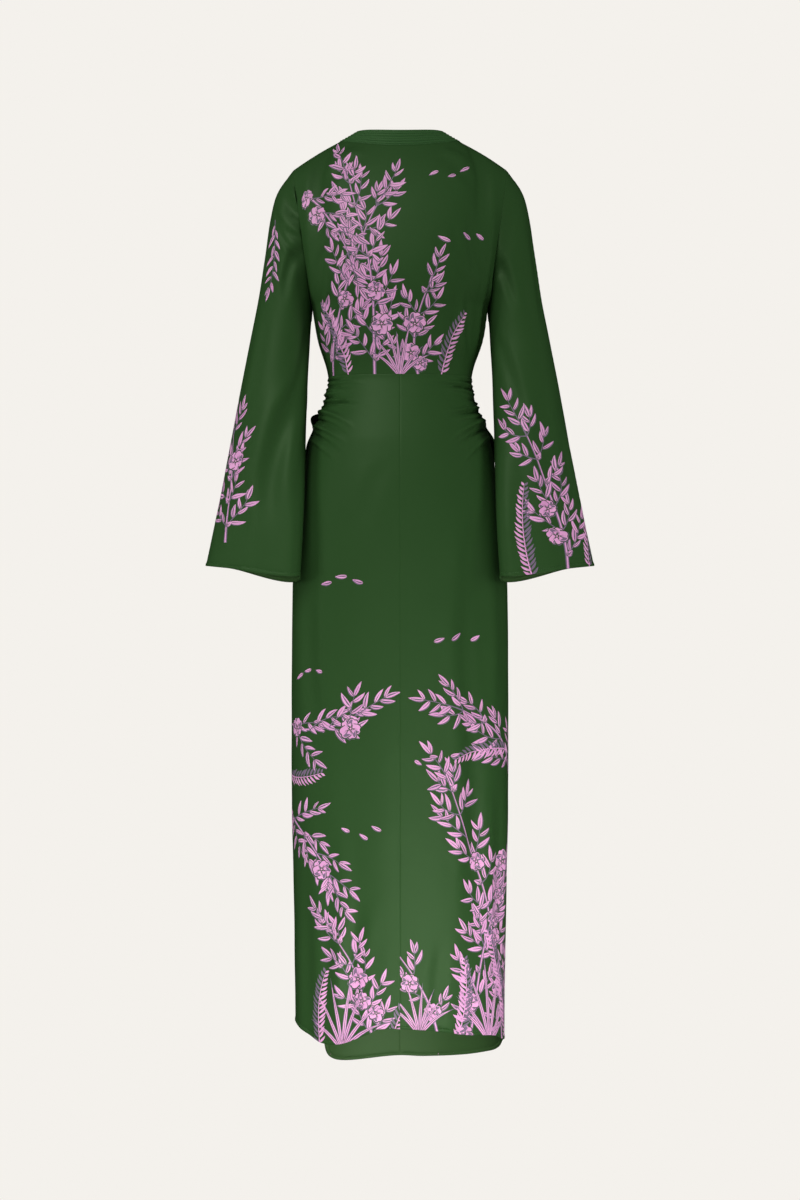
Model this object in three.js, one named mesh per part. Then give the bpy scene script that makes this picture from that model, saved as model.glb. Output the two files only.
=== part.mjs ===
// A long tunic dress, hollow and open as it is when worn: fitted bodice with a V neck and a stitched neckband,
// flared sleeves, and a skirt of four panels gathered at the side seams below the waist.
// Millimetres, +Z up. The wearer faces -Y, and the wearer's left is +X.
// The origin is midway between the two high shoulder points, where the dress rests on the wearer.
import * as THREE from "three";

// ---------- driving dimensions ----------
const WALL = 1.5; // cloth thickness
const SEAM_GAP = 0.3; // clearance between two pieces sewn together
const WAIST_Z = -377; // waist seam
const UNDERARM_Z = -264;
const NECK_HALF = 96; // half the neckline's width at the high shoulder points
const NECK_BACK = 50; // how far the neckline reaches behind the shoulders
const NECK_BACK_DROP = 13;
const NECK_FRONT = 60; // the same in front, under the V
const NECK_FRONT_DROP = 62;
const SHOULDER_HALF = 171; // half the distance between the shoulder points
const SHOULDER_DROP = 46;
const SHOULDER_ARCH = 2; // how far the shoulder seam rises above a straight line
const ARMHOLE_DEPTH = 50; // how far the armhole bows to front and back
const V_Z = -300; // where the two front edges meet
const BAND_WIDTH = 31;
const ROUNDNESS = 2.3; // exponent of the body's superellipse sections: 2 is an ellipse

// Body sections from the underarm to the hem: half width at the side seam, depth behind and in front of it.
const BODY = [
  { z: -264, half: 141, back: 98, front: 112 },
  { z: -320, half: 131, back: 86, front: 103 },
  { z: -377, half: 115, back: 74, front: 86 },
  { z: -415, half: 120, back: 84, front: 90 },
  { z: -450, half: 133, back: 95, front: 95 },
  { z: -485, half: 143, back: 104, front: 99 },
  { z: -560, half: 157, back: 111, front: 104 },
  { z: -640, half: 167, back: 111, front: 107 },
  { z: -720, half: 172, back: 108, front: 108 },
  { z: -1050, half: 173, back: 104, front: 108 },
  { z: -1200, half: 170, back: 102, front: 106 },
  { z: -1480, half: 166, back: 100, front: 104 },
];

// The hem's height against the distance from the middle, the wearer's left positive.
const HEM_BACK = [
  { x: -166, z: -1434 },
  { x: -150, z: -1422 },
  { x: -103, z: -1416 },
  { x: -54, z: -1408 },
  { x: -15, z: -1405 },
  { x: 34, z: -1405 },
  { x: 49, z: -1413 },
  { x: 69, z: -1421 },
  { x: 94, z: -1430 },
  { x: 124, z: -1430 },
  { x: 150, z: -1418 },
  { x: 166, z: -1405 },
];
const HEM_FRONT = [
  { x: -166, z: -1434 },
  { x: -160, z: -1452 },
  { x: -146, z: -1463 },
  { x: -103, z: -1474 },
  { x: -40, z: -1479 },
  { x: 4, z: -1478 },
  { x: 74, z: -1483 },
  { x: 94, z: -1481 },
  { x: 121, z: -1467 },
  { x: 150, z: -1436 },
  { x: 166, z: -1405 },
];

// Sleeve sections from armhole to cuff. t is the share of the sleeve's length along its outer edge.
const SLEEVE = [
  { t: 0.0, outX: 171, outY: 0, outZ: -46, inX: 141, inY: 0, inZ: -264, depth: 50 },
  { t: 0.07, outX: 196, outY: 1, outZ: -83, inX: 141.5, inY: 2, inZ: -283, depth: 50 },
  { t: 0.134, outX: 207, outY: 2, outZ: -125, inX: 143, inY: 4, inZ: -303, depth: 50 },
  { t: 0.234, outX: 216, outY: 5, outZ: -189, inX: 145, inY: 8, inZ: -341, depth: 49 },
  { t: 0.333, outX: 226, outY: 8, outZ: -253, inX: 147, inY: 13, inZ: -382, depth: 48 },
  { t: 0.5, outX: 247, outY: 15, outZ: -361, inX: 149, inY: 28, inZ: -452, depth: 47 },
  { t: 0.67, outX: 267, outY: 24, outZ: -470, inX: 150, inY: 56, inZ: -530, depth: 44 },
  { t: 0.83, outX: 286, outY: 33, outZ: -573, inX: 152, inY: 77, inZ: -610, depth: 41 },
  { t: 1.0, outX: 308, outY: 40, outZ: -679, inX: 157, inY: 87, inZ: -694, depth: 39 },
];

// Gathers at the skirt's side seams: height at the seam, depth, half width, reach from the seam, and fall of
// the fold per millimetre of reach.
const GATHERS = [
  { z: -389, depth: 2.4, half: 9, reach: 62, fall: 0.1 },
  { z: -412, depth: 3.2, half: 11, reach: 85, fall: 0.22 },
  { z: -438, depth: 4.0, half: 13, reach: 105, fall: 0.5 },
  { z: -470, depth: 3.0, half: 16, reach: 90, fall: 0.85 },
];

// Soft lengthwise folds of the skirt: angle from centre back, depth, half width in degrees, and both ends.
const SKIRT_FOLDS = [
  { angle: -43, depth: 5, half: 15, top: -520, bottom: -1330 },
  { angle: 58, depth: 4, half: 13, top: -1120, bottom: -1560 },
  { angle: 22, depth: 2.5, half: 18, top: -700, bottom: -1500 },
  { angle: 128, depth: 4.5, half: 15, top: -620, bottom: -1560 },
  { angle: -146, depth: 4, half: 14, top: -560, bottom: -1500 },
];

// Soft lengthwise folds of a sleeve: place across it (0 at the inner edge, 1 at the outer), depth, half width
// and start.
const SLEEVE_FOLDS = [
  { side: 1, place: 0.38, depth: 6, half: 0.2, start: 0.42 },
  { side: 1, place: 0.72, depth: 2.5, half: 0.16, start: 0.6 },
  { side: -1, place: 0.5, depth: 5, half: 0.22, start: 0.5 },
];

// Grid sizes: cells along and across each kind of piece.
const ARMHOLE_CELLS = 10;
const SIDE_CELLS = 5;
const SHOULDER_CELLS = 4;
const NECK_FRONT_CELLS = 9;
const NECK_BACK_CELLS = 6;
const SLEEVE_CELLS = 14;
const QUARTER_CELLS = 9;
const BAND_ACROSS = 2;
const SKIRT_CELLS = 26;
const FIRST_ROWS = 0.22; // spacing of the skirt's first rows, in the gathers, against an even spacing
const SHOULDER_U = 0.5; // where the high shoulder point falls between the middle (0) and the side (1)

// ---------- small tools ----------
const RIGHT_ANGLE = Math.PI / 2;
const vec = (x, y, z) => new THREE.Vector3(x, y, z);
const lerp = THREE.MathUtils.lerp;
const smooth = (t) => THREE.MathUtils.smoothstep(t, 0, 1);
const bump = (d) => (Math.abs(d) < 1 ? (1 - d * d) ** 2 : 0);
const power = (c, exponent) => Math.sign(c) * Math.abs(c) ** exponent;

// A smooth curve through a table's rows, read at a place in column `by`.
function read(table, by, at, column) {
  const last = table.length - 1;
  let i = 0;
  while (i < last - 1 && at > table[i + 1][by] === table[last][by] > table[0][by]) i += 1;
  const slope = (j) => {
    const a = table[Math.max(j - 1, 0)];
    const b = table[Math.min(j + 1, last)];
    return (b[column] - a[column]) / (b[by] - a[by]);
  };
  const [from, to] = [table[i], table[i + 1]];
  const span = to[by] - from[by];
  const t = THREE.MathUtils.clamp((at - from[by]) / span, 0, 1);
  const rise = slope(i) * span * (t - 2 * t * t + t ** 3) + slope(i + 1) * span * (t ** 3 - t * t);
  return lerp(from[column], to[column], smooth(t)) + rise;
}

// A cubic from a to b that leaves along one tangent and arrives along another.
function hermite(a, leaving, b, arriving, t) {
  return vec(0, 0, 0)
    .addScaledVector(a, 1 - smooth(t))
    .addScaledVector(b, smooth(t))
    .addScaledVector(leaving, t - 2 * t * t + t ** 3)
    .addScaledVector(arriving, t ** 3 - t * t);
}

// ---------- the body ----------
// A point of the body's section at height z. The angle is 0 at centre back, 90 degrees at the wearer's left
// side seam and 180 at centre front.
function bodyPoint(angle, z) {
  const depth = read(BODY, "z", z, Math.cos(angle) >= 0 ? "back" : "front");
  const x = read(BODY, "z", z, "half") * power(Math.sin(angle), 2 / ROUNDNESS);
  return vec(x, depth * power(Math.cos(angle), 2 / ROUNDNESS), z);
}

// ---------- the bodice ----------
// The bodice's upper edge, on the back (facing 1) or the front (facing -1). u runs from 0 at the middle to 1 at
// the shoulder point, and is negative on the wearer's right.
function upperEdge(u, facing) {
  const share = Math.abs(u);
  if (share >= SHOULDER_U) {
    const along = (share - SHOULDER_U) / (1 - SHOULDER_U);
    const height = 4 * SHOULDER_ARCH * along * (1 - along) - SHOULDER_DROP * along;
    return vec(Math.sign(u) * lerp(NECK_HALF, SHOULDER_HALF, along), 0, height);
  }
  const turn = (u / SHOULDER_U) * RIGHT_ANGLE;
  const depth = facing > 0 ? NECK_BACK : -NECK_FRONT;
  const drop = facing > 0 ? NECK_BACK_DROP : NECK_FRONT_DROP;
  return vec(NECK_HALF * Math.sin(turn), depth * Math.cos(turn), -drop * Math.cos(turn) ** 2);
}

// The direction in which a line of cloth runs into the upper edge: over the shoulder, or up to the neck.
function arrival(u, facing) {
  const share = Math.abs(u);
  const nearNeck = 1 - smooth((share - SHOULDER_U) / (1 - SHOULDER_U));
  const lean = (Math.min(share / SHOULDER_U, 1) * nearNeck * Math.PI) / 4;
  const rise = share < SHOULDER_U ? lerp(1.7, 0.55, smooth(share / SHOULDER_U)) : lerp(0.1, 0.55, nearNeck);
  return vec(-Math.sign(u) * Math.sin(lean), -facing * Math.cos(lean), rise).normalize();
}

// A point of the bodice, as if it closed high at the neck. v is 0 at the waist, UNDERARM_V at the underarm and
// 1 at the upper edge.
const UNDERARM_V = SIDE_CELLS / (SIDE_CELLS + ARMHOLE_CELLS);
function bodicePoint(u, v, facing) {
  const angle = facing > 0 ? u * RIGHT_ANGLE : Math.PI - u * RIGHT_ANGLE;
  if (v <= UNDERARM_V) return bodyPoint(angle, lerp(WAIST_Z, UNDERARM_Z, v / UNDERARM_V));
  const atEdge = Math.abs(u) ** 3;
  const start = bodyPoint(angle, UNDERARM_Z);
  const end = upperEdge(u, facing);
  const reach = 4 * ARMHOLE_DEPTH;
  const outward = bodyPoint(angle, UNDERARM_Z).sub(bodyPoint(angle, UNDERARM_Z - 20));
  const leaving = outward.normalize().lerp(vec(0, facing, 0), atEdge).normalize();
  const length = lerp(start.distanceTo(end), reach, atEdge);
  const arriving = arrival(u, facing).multiplyScalar(lerp(length * 0.9, reach, atEdge));
  return hermite(start, leaving.multiplyScalar(length), end, arriving, (v - UNDERARM_V) / (1 - UNDERARM_V));
}

// How far up a line of the front the V neck lets it run.
function frontEnd(u) {
  if (Math.abs(u) >= SHOULDER_U) return 1;
  let [low, high] = [0, 1];
  for (let step = 0; step < 40; step += 1) {
    const middle = (low + high) / 2;
    const p = bodicePoint(u, middle, -1);
    if (p.z < V_Z * (1 - Math.abs(p.x) / NECK_HALF)) low = middle;
    else high = middle;
  }
  return low;
}

// A grid of points: rows of columns. f gets the shares along the rows and the columns.
function grid(rows, columns, f) {
  return Array.from({ length: rows + 1 }, (_, i) =>
    Array.from({ length: columns + 1 }, (_, j) => f(i / rows, j / columns)),
  );
}

// The place u of a column counted out from the middle: first along the neck, then along the shoulder.
function columnPlace(column, neckCells) {
  if (column <= neckCells) return (SHOULDER_U * column) / neckCells;
  return lerp(SHOULDER_U, 1, (column - neckCells) / SHOULDER_CELLS);
}

function backBodice() {
  const half = NECK_BACK_CELLS + SHOULDER_CELLS;
  return grid(SIDE_CELLS + ARMHOLE_CELLS, 2 * half, (v, across) => {
    const column = Math.round((2 * across - 1) * half);
    return bodicePoint(Math.sign(column) * columnPlace(Math.abs(column), NECK_BACK_CELLS), v, 1);
  });
}

// The front's lines are cut short by the V.
function frontBodice(side) {
  const cells = NECK_FRONT_CELLS + SHOULDER_CELLS;
  return grid(SIDE_CELLS + ARMHOLE_CELLS, cells, (v, across) => {
    const u = side * columnPlace(Math.round(across * cells), NECK_FRONT_CELLS);
    return bodicePoint(u, v * frontEnd(u), -1);
  });
}

// ---------- the sleeves ----------
function sleeveFold(place, facing, t) {
  if (facing === 0) return 0;
  return SLEEVE_FOLDS.filter((fold) => fold.side === facing).reduce(
    (sum, fold) => sum - fold.depth * bump((place - fold.place) / fold.half) * smooth((t - fold.start) / 0.4),
    0,
  );
}

// A point of the sleeve on side 1 (the wearer's left) or -1. round is 0 at the underarm seam and goes by way of
// the back to 0.5 at the outer edge, then by way of the front to 1.
function sleevePoint(side, t, round) {
  const onBack = round <= 0.5;
  const place = onBack ? 2 * round : 2 - 2 * round;
  const facing = onBack ? 1 : -1;
  const row = (column) => read(SLEEVE, "t", t, column);
  const inner = vec(row("inX"), row("inY"), row("inZ"));
  const outer = vec(row("outX"), row("outY"), row("outZ"));
  const p = inner.lerp(outer, smooth(place));
  const bow = 4 * place * (1 - place);
  p.y += facing * (row("depth") * bow + sleeveFold(place, facing, t));
  // It starts exactly on the armhole.
  const first = SLEEVE[0];
  const start = vec(first.inX, 0, first.inZ).lerp(vec(first.outX, 0, first.outZ), smooth(place));
  start.y += facing * first.depth * bow;
  const armhole = bodicePoint(1, lerp(UNDERARM_V, 1, place), facing);
  p.addScaledVector(armhole.sub(start), 1 - smooth(t / 0.12));
  // The cuff hangs lower in front, near the body.
  const lower = onBack ? 4 * bump((place - 0.3) / 0.4) : 13 * bump((place - 0.25) / 0.45);
  p.z -= lower * smooth((t - 0.5) / 0.5);
  p.x *= side;
  return p;
}

function sleeve(side) {
  return grid(SLEEVE_CELLS, 2 * ARMHOLE_CELLS, (t, round) => sleevePoint(side, t ** 1.15, round));
}

// ---------- the skirt ----------
function gather(z, fromSeam) {
  return GATHERS.reduce((sum, fold) => {
    const fade = Math.max(0, 1 - fromSeam / fold.reach) ** 1.5;
    return sum - fold.depth * fade * bump((z - fold.z + fold.fall * fromSeam) / fold.half);
  }, 0);
}

function skirtFold(degrees, z) {
  return SKIRT_FOLDS.reduce((sum, fold) => {
    const length = fold.top - fold.bottom;
    const along = smooth((fold.top - z) / (0.45 * length)) * smooth((z - fold.bottom) / (0.25 * length));
    return sum - fold.depth * along * bump((degrees - fold.angle) / fold.half);
  }, 0);
}

// A point of the skirt; the angle is as in bodyPoint, and negative on the wearer's right.
function skirtPoint(angle, z) {
  const p = bodyPoint(Math.abs(angle), z);
  const half = read(BODY, "z", z, "half");
  const fromSeam = half * Math.abs(Math.abs(angle) - RIGHT_ANGLE) * 0.9;
  const outward = vec(Math.sin(Math.abs(angle)), Math.cos(Math.abs(angle)), 0);
  const degrees = THREE.MathUtils.radToDeg(angle);
  const belowWaist = smooth((WAIST_Z - z) / 12);
  // The front is fuller just beside the side seam, below the gathers.
  const puff = 6 * bump((Math.abs(degrees) - 103) / 26) * bump((z + 478) / 70);
  p.addScaledVector(outward, gather(z, fromSeam) * belowWaist + skirtFold(degrees, z) + puff);
  if (angle < 0) p.x *= -1;
  return p;
}

// A quarter of the skirt, from the middle line to the side seam, on one side and facing back (1) or front (-1).
function skirtQuarter(side, facing) {
  return grid(SKIRT_CELLS, QUARTER_CELLS, (down, across) => {
    const angle = side * (facing > 0 ? across : 2 - across) * RIGHT_ANGLE;
    const wide = bodyPoint(angle, BODY[BODY.length - 1].z).x;
    const hem = read(facing > 0 ? HEM_BACK : HEM_FRONT, "x", wide, "z");
    const share = down * lerp(FIRST_ROWS, 1, down * down);
    return skirtPoint(angle, lerp(WAIST_Z, hem, share));
  });
}

// ---------- the neckband ----------
// The line on the bodice to which half the band is sewn: up the V, over the high shoulder point at s = 1, and
// on to centre back at s = 2.
function neckSeam(side, s) {
  if (s <= 1) return bodicePoint(side * SHOULDER_U * s, frontEnd(side * SHOULDER_U * s), -1);
  return upperEdge(side * SHOULDER_U * (2 - s), 1);
}

// Where the band's free edge lies beside that line: on past the bodice's own surface.
function bandEdge(side, s) {
  const step = 0.02;
  const [before, after] = [neckSeam(side, Math.max(s - step, 0)), neckSeam(side, Math.min(s + step, 2))];
  const along = after.sub(before).normalize();
  const lean = (facing, at) => {
    const u = side * SHOULDER_U * (at <= 1 ? at : 2 - at);
    const top = facing < 0 ? Math.min(frontEnd(u), 1) : 1;
    const uphill = bodicePoint(u, top, facing).sub(bodicePoint(u, top - 0.01, facing));
    return uphill.addScaledVector(along, -uphill.dot(along)).normalize();
  };
  const inward = lean(-1, Math.min(s, 1)).lerp(lean(1, Math.max(s, 1)), smooth((s - 0.8) / 0.4)).normalize();
  inward.z -= 0.2 * bump((s - 1) / 0.22);
  return neckSeam(side, s).addScaledVector(inward.normalize(), BAND_WIDTH);
}

// The point at height z on the bodice's middle line in front.
function centreFront(z) {
  let [low, high] = [0, 1];
  for (let step = 0; step < 40; step += 1) {
    const middle = (low + high) / 2;
    if (bodicePoint(0, middle, -1).z < z) low = middle;
    else high = middle;
  }
  return bodicePoint(0, low, -1);
}

// Where along the seam the free edge meets the middle line in front.
function mitreStart(side) {
  let [low, high] = [0, 1];
  for (let step = 0; step < 40; step += 1) {
    const middle = (low + high) / 2;
    if (bandEdge(side, middle).x * side < 0) low = middle;
    else high = middle;
  }
  return high;
}

function neckband(side) {
  const start = mitreStart(side);
  const cells = NECK_FRONT_CELLS + NECK_BACK_CELLS;
  return grid(cells, BAND_ACROSS, (along, across) => {
    const place = Math.round(along * cells);
    const onBack = Math.max(0, place - NECK_FRONT_CELLS);
    const s = Math.min(1, place / NECK_FRONT_CELLS) + onBack / NECK_BACK_CELLS;
    const edge = bandEdge(side, s <= 1 ? lerp(start, 1, s) : s);
    if (along === 1) edge.x = 0;
    const p = neckSeam(side, s).lerp(edge, across);
    return along === 0 ? centreFront(p.z) : p;
  });
}

// ---------- from grids of points to walls of cloth ----------
// Unit normals of a grid, and the sign that turns them away from the wearer. A tube's last column is its first.
function normalsOf(points, tube, sign) {
  const rows = points.length - 1;
  const columns = points[0].length - 1;
  return points.map((row, i) =>
    row.map((_, j) => {
      const up = points[Math.min(i + 1, rows)][j].clone().sub(points[Math.max(i - 1, 0)][j]);
      const right = tube ? row[(j + 1) % columns] : row[Math.min(j + 1, columns)];
      const left = tube ? row[(j - 1 + columns) % columns] : row[Math.max(j - 1, 0)];
      return up.cross(right.clone().sub(left)).normalize().multiplyScalar(sign);
    }),
  );
}

const PIECES = [
  { name: "bodice_back", points: backBodice() },
  { name: "bodice_front_left", points: frontBodice(1) },
  { name: "bodice_front_right", points: frontBodice(-1) },
  { name: "neckband_left", points: neckband(1) },
  { name: "neckband_right", points: neckband(-1) },
  { name: "sleeve_left", points: sleeve(1), tube: true },
  { name: "sleeve_right", points: sleeve(-1), tube: true },
  { name: "skirt_back_left", points: skirtQuarter(1, 1) },
  { name: "skirt_back_right", points: skirtQuarter(-1, 1) },
  { name: "skirt_front_left", points: skirtQuarter(1, -1) },
  { name: "skirt_front_right", points: skirtQuarter(-1, -1) },
];

// Where the wearer is, seen from a piece: inside the sleeve's tube, or on the body's axis.
function insideOf(piece, i, j) {
  const row = piece.points[i];
  if (!piece.tube) return vec(0, 0, Math.min(row[j].z, -60));
  return row[0].clone().lerp(row[(row.length - 1) / 2], 0.5);
}

for (const piece of PIECES) {
  const [i, j] = [Math.floor(piece.points.length / 2), Math.floor(piece.points[0].length / 3)];
  const normal = normalsOf(piece.points, piece.tube, 1)[i][j];
  piece.sign = normal.dot(piece.points[i][j].clone().sub(insideOf(piece, i, j))) > 0 ? 1 : -1;
  piece.normals = normalsOf(piece.points, piece.tube, piece.sign);
}

// Pieces that meet at a seam turn their edges the same way there, as a mitre, where the seam folds outward.
const NEAR = 0.01;
const MITRE_LEAST = 0.1;
function eachEdgePoint(piece, visit) {
  const rows = piece.points.length - 1;
  const columns = piece.points[0].length - 1;
  piece.points.forEach((row, i) =>
    row.forEach((p, j) => {
      const atSide = !piece.tube && (j === 0 || j === columns);
      if (i === 0 || i === rows || atSide) visit(p, i, j);
    }),
  );
}

const meetings = [];
for (const piece of PIECES) {
  eachEdgePoint(piece, (p, i, j) => {
    const meeting = meetings.find((m) => m.p.distanceTo(p) < NEAR) ?? { p, members: [] };
    if (!meeting.members.length) meetings.push(meeting);
    meeting.members.push({ piece, i, j, normal: piece.normals[i][j] });
  });
}
for (const { members } of meetings) {
  const turned = members.map(({ normal }) => {
    const alike = members.filter((other) => other.normal.dot(normal) > MITRE_LEAST);
    return alike.reduce((sum, other) => sum.add(other.normal), vec(0, 0, 0));
  });
  members.forEach(({ piece, i, j }, k) => (piece.normals[i][j] = turned[k].normalize()));
}

// Every edge draws back from its seam by half the gap. A tube's ends draw back a little more, where they meet
// cloth that lies beside them.
function drawnBack(piece) {
  const { points, tube } = piece;
  const rows = points.length - 1;
  const columns = points[0].length - 1;
  const toward = (from, to, gap) => to.clone().sub(from).setLength(gap);
  const gap = tube ? SEAM_GAP : SEAM_GAP / 2;
  return points.map((row, i) =>
    row.map((p, j) => {
      const moved = p.clone();
      if (i === 0) moved.add(toward(p, points[1][j], gap));
      if (i === rows) moved.add(toward(p, points[rows - 1][j], gap));
      if (!tube && j === 0) moved.add(toward(p, row[1], gap));
      if (!tube && j === columns) moved.add(toward(p, row[columns - 1], gap));
      return moved;
    }),
  );
}

// The closed wall between the outer grid and the same grid moved inward by the cloth's thickness.
function wall(piece) {
  const outer = drawnBack(piece);
  const inner = outer.map((row, i) => row.map((p, j) => p.clone().addScaledVector(piece.normals[i][j], -WALL)));
  const columns = piece.tube ? outer[0].length - 1 : outer[0].length;
  const rows = outer.length;
  const layers = [outer, inner].map((layer) => layer.map((row) => row.slice(0, columns)));
  const positions = layers.flat(2).flatMap((p) => p.toArray());
  const at = (layer, i, j) => (layer * rows + i) * columns + (j % columns);
  const faces = [];
  // Rows and columns turn one way or the other round the normal, so a negative sign flips every face.
  const quad = (a, b, c, d) => faces.push(...(piece.sign > 0 ? [a, b, c, a, c, d] : [a, c, b, a, d, c]));
  const acrossCells = piece.tube ? columns : columns - 1;
  for (let i = 0; i < rows - 1; i += 1) {
    for (let j = 0; j < acrossCells; j += 1) {
      quad(at(0, i, j), at(0, i + 1, j), at(0, i + 1, j + 1), at(0, i, j + 1));
      quad(at(1, i, j), at(1, i, j + 1), at(1, i + 1, j + 1), at(1, i + 1, j));
    }
  }
  for (let j = 0; j < acrossCells; j += 1) {
    quad(at(0, 0, j), at(0, 0, j + 1), at(1, 0, j + 1), at(1, 0, j));
    quad(at(0, rows - 1, j), at(1, rows - 1, j), at(1, rows - 1, j + 1), at(0, rows - 1, j + 1));
  }
  if (!piece.tube) {
    for (let i = 0; i < rows - 1; i += 1) {
      quad(at(0, i, 0), at(1, i, 0), at(1, i + 1, 0), at(0, i + 1, 0));
      quad(at(0, i, columns - 1), at(0, i + 1, columns - 1), at(1, i + 1, columns - 1), at(1, i, columns - 1));
    }
  }
  const geometry = new THREE.BufferGeometry();
  geometry.setAttribute("position", new THREE.Float32BufferAttribute(positions, 3));
  geometry.setIndex(faces);
  geometry.computeVertexNormals();
  return geometry;
}

// ---------- the dress ----------
const SILK = new THREE.MeshStandardMaterial({ color: 0x33522f, roughness: 0.55, metalness: 0, name: "silk" });

const dress = new THREE.Group();
for (const piece of PIECES) {
  const mesh = new THREE.Mesh(wall(piece), SILK.clone());
  mesh.name = piece.name;
  dress.add(mesh);
}

export default dress;
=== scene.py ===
# A floor-length tunic dress of printed silk crepe, hollow and open as it is when worn.
# The wearer faces -Y and the camera stands behind, at +Y. Sizes are in millimetres until a mesh is made.
import math
from collections import namedtuple

import bpy
import numpy as np
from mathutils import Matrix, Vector
from mathutils.geometry import delaunay_2d_cdt
from mathutils.kdtree import KDTree


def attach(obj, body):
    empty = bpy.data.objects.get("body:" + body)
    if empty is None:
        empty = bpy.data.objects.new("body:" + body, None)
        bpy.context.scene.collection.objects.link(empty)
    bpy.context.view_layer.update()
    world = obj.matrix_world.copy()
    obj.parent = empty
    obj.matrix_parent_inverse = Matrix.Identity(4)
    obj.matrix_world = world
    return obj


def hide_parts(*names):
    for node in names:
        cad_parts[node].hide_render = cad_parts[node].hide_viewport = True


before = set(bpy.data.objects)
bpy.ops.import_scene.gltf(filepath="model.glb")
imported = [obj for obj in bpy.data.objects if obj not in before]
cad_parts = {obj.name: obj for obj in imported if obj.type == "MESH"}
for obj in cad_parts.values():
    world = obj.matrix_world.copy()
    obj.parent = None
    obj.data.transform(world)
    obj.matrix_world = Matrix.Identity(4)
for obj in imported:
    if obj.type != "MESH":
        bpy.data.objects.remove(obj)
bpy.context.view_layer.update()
MM = 0.001
HALF_PI = math.pi / 2

# ---------- the camera, where the photograph's stood ----------
VIEW_HEIGHT = 1.92  # what the picture's long side takes in at the dress
LENS = 85
SENSOR = 36
EYE_Z = -0.733


def add_object(name, data):
    made = bpy.data.objects.new(name, data)
    bpy.context.scene.collection.objects.link(made)
    return made


def make_camera():
    camera = add_object("camera", bpy.data.cameras.new("camera"))
    camera.data.lens = LENS
    camera.data.sensor_width = SENSOR
    camera.location = (0, VIEW_HEIGHT * LENS / SENSOR, EYE_Z)
    camera.rotation_euler = (HALF_PI, 0, math.pi)
    bpy.context.scene.camera = camera


make_camera()


# ---------- small tools ----------
def smooth(t):
    t = np.clip(t, 0, 1)
    return t * t * (3 - 2 * t)


def bump(d):
    return np.where(np.abs(d) < 1, (1 - np.minimum(d * d, 1)) ** 2, 0)


def groove(d, half):
    return np.maximum(0, 1 - d / half) ** 2


def lerp(a, b, t):
    return a + (b - a) * t


def power(c, exponent):
    return np.sign(c) * np.abs(c) ** exponent


def vec(x, y, z):
    return np.stack(np.broadcast_arrays(x, y, z), axis=-1).astype(float)


def unit(a):
    return a / np.maximum(np.linalg.norm(a, axis=-1, keepdims=True), 1e-9)


def square_to(line):
    """Unit directions in the flat, a quarter turn to the left of a line's own."""
    along = unit(np.gradient(line, axis=0))
    return np.stack([-along[:, 1], along[:, 0]], axis=1)


def tree_of(points):
    tree = KDTree(len(points))
    for k, p in enumerate(points):
        tree.insert(p, k)
    tree.balance()
    return tree


def looking(net, points, outward):
    """The net of triangles, turned round if the middle one looks the wrong way."""
    middle = net[len(net) // 2]
    a, b, c = points[middle]
    return net[:, ::-1] if np.cross(b - a, c - a) @ outward[middle[0]] < 0 else net


def rows_of(text):
    """A written table's rows, with each word that isn't a name made a number."""
    lines = text.strip().splitlines()
    return [[word if word.isalpha() else float(word) for word in line.split()] for line in lines]


def table(text):
    """A written table's columns, named by its first line."""
    names, rows = text.strip().split("\n", 1)
    return dict(zip(names.split(), np.array(rows_of(rows)).T))


def read(rows, by, at, column):
    """A smooth curve through a table's rows."""
    x, y = rows[by], rows[column]
    if x[0] > x[-1]:
        x, y = x[::-1], y[::-1]
    slope = np.empty_like(y)
    slope[1:-1] = (y[2:] - y[:-2]) / (x[2:] - x[:-2])
    slope[0] = (y[1] - y[0]) / (x[1] - x[0])
    slope[-1] = (y[-1] - y[-2]) / (x[-1] - x[-2])
    at = np.clip(at, x[0], x[-1])
    i = np.clip(np.searchsorted(x, at, side="right") - 1, 0, len(x) - 2)
    span = x[i + 1] - x[i]
    t = (at - x[i]) / span
    rise = slope[i] * span * (t - 2 * t**2 + t**3) + slope[i + 1] * span * (t**3 - t**2)
    return lerp(y[i], y[i + 1], smooth(t)) + rise


def hermite(a, leaving, b, arriving, t):
    t = t[:, None]
    ends = lerp(a, b, smooth(t))
    return ends + leaving * (t - 2 * t**2 + t**3) + arriving * (t**3 - t**2)


def bisect(is_low, count):
    low, high = np.zeros(count), np.ones(count)
    for _ in range(30):
        middle = (low + high) / 2
        below = is_low(middle)
        low = np.where(below, middle, low)
        high = np.where(below, high, middle)
    return low


# ---------- the dress's sizes, as in the CAD model ----------
WAIST_Z = -377
UNDERARM_Z = -264
NECK_HALF = 96
NECK_DEPTH = {1: 50, -1: -60}  # back and front of the neckline
NECK_DROP = {1: 13, -1: 62}
SHOULDER_HALF = 171
SHOULDER_DROP = 46
SHOULDER_ARCH = 2
ARMHOLE_DEPTH = 50
V_Z = -300
BAND_WIDTH = 31
ROUNDNESS = 2.3  # exponent of the body's superellipse sections: 2 is an ellipse
UNDERARM_V = 1 / 3
SHOULDER_U = 0.5  # where the high shoulder point falls between the middle (0) and the side (1)
RISE = {"middle": 1.7, "neck": 0.55, "shoulder": 0.1}  # how steeply the bodice arrives at its upper edge

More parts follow.
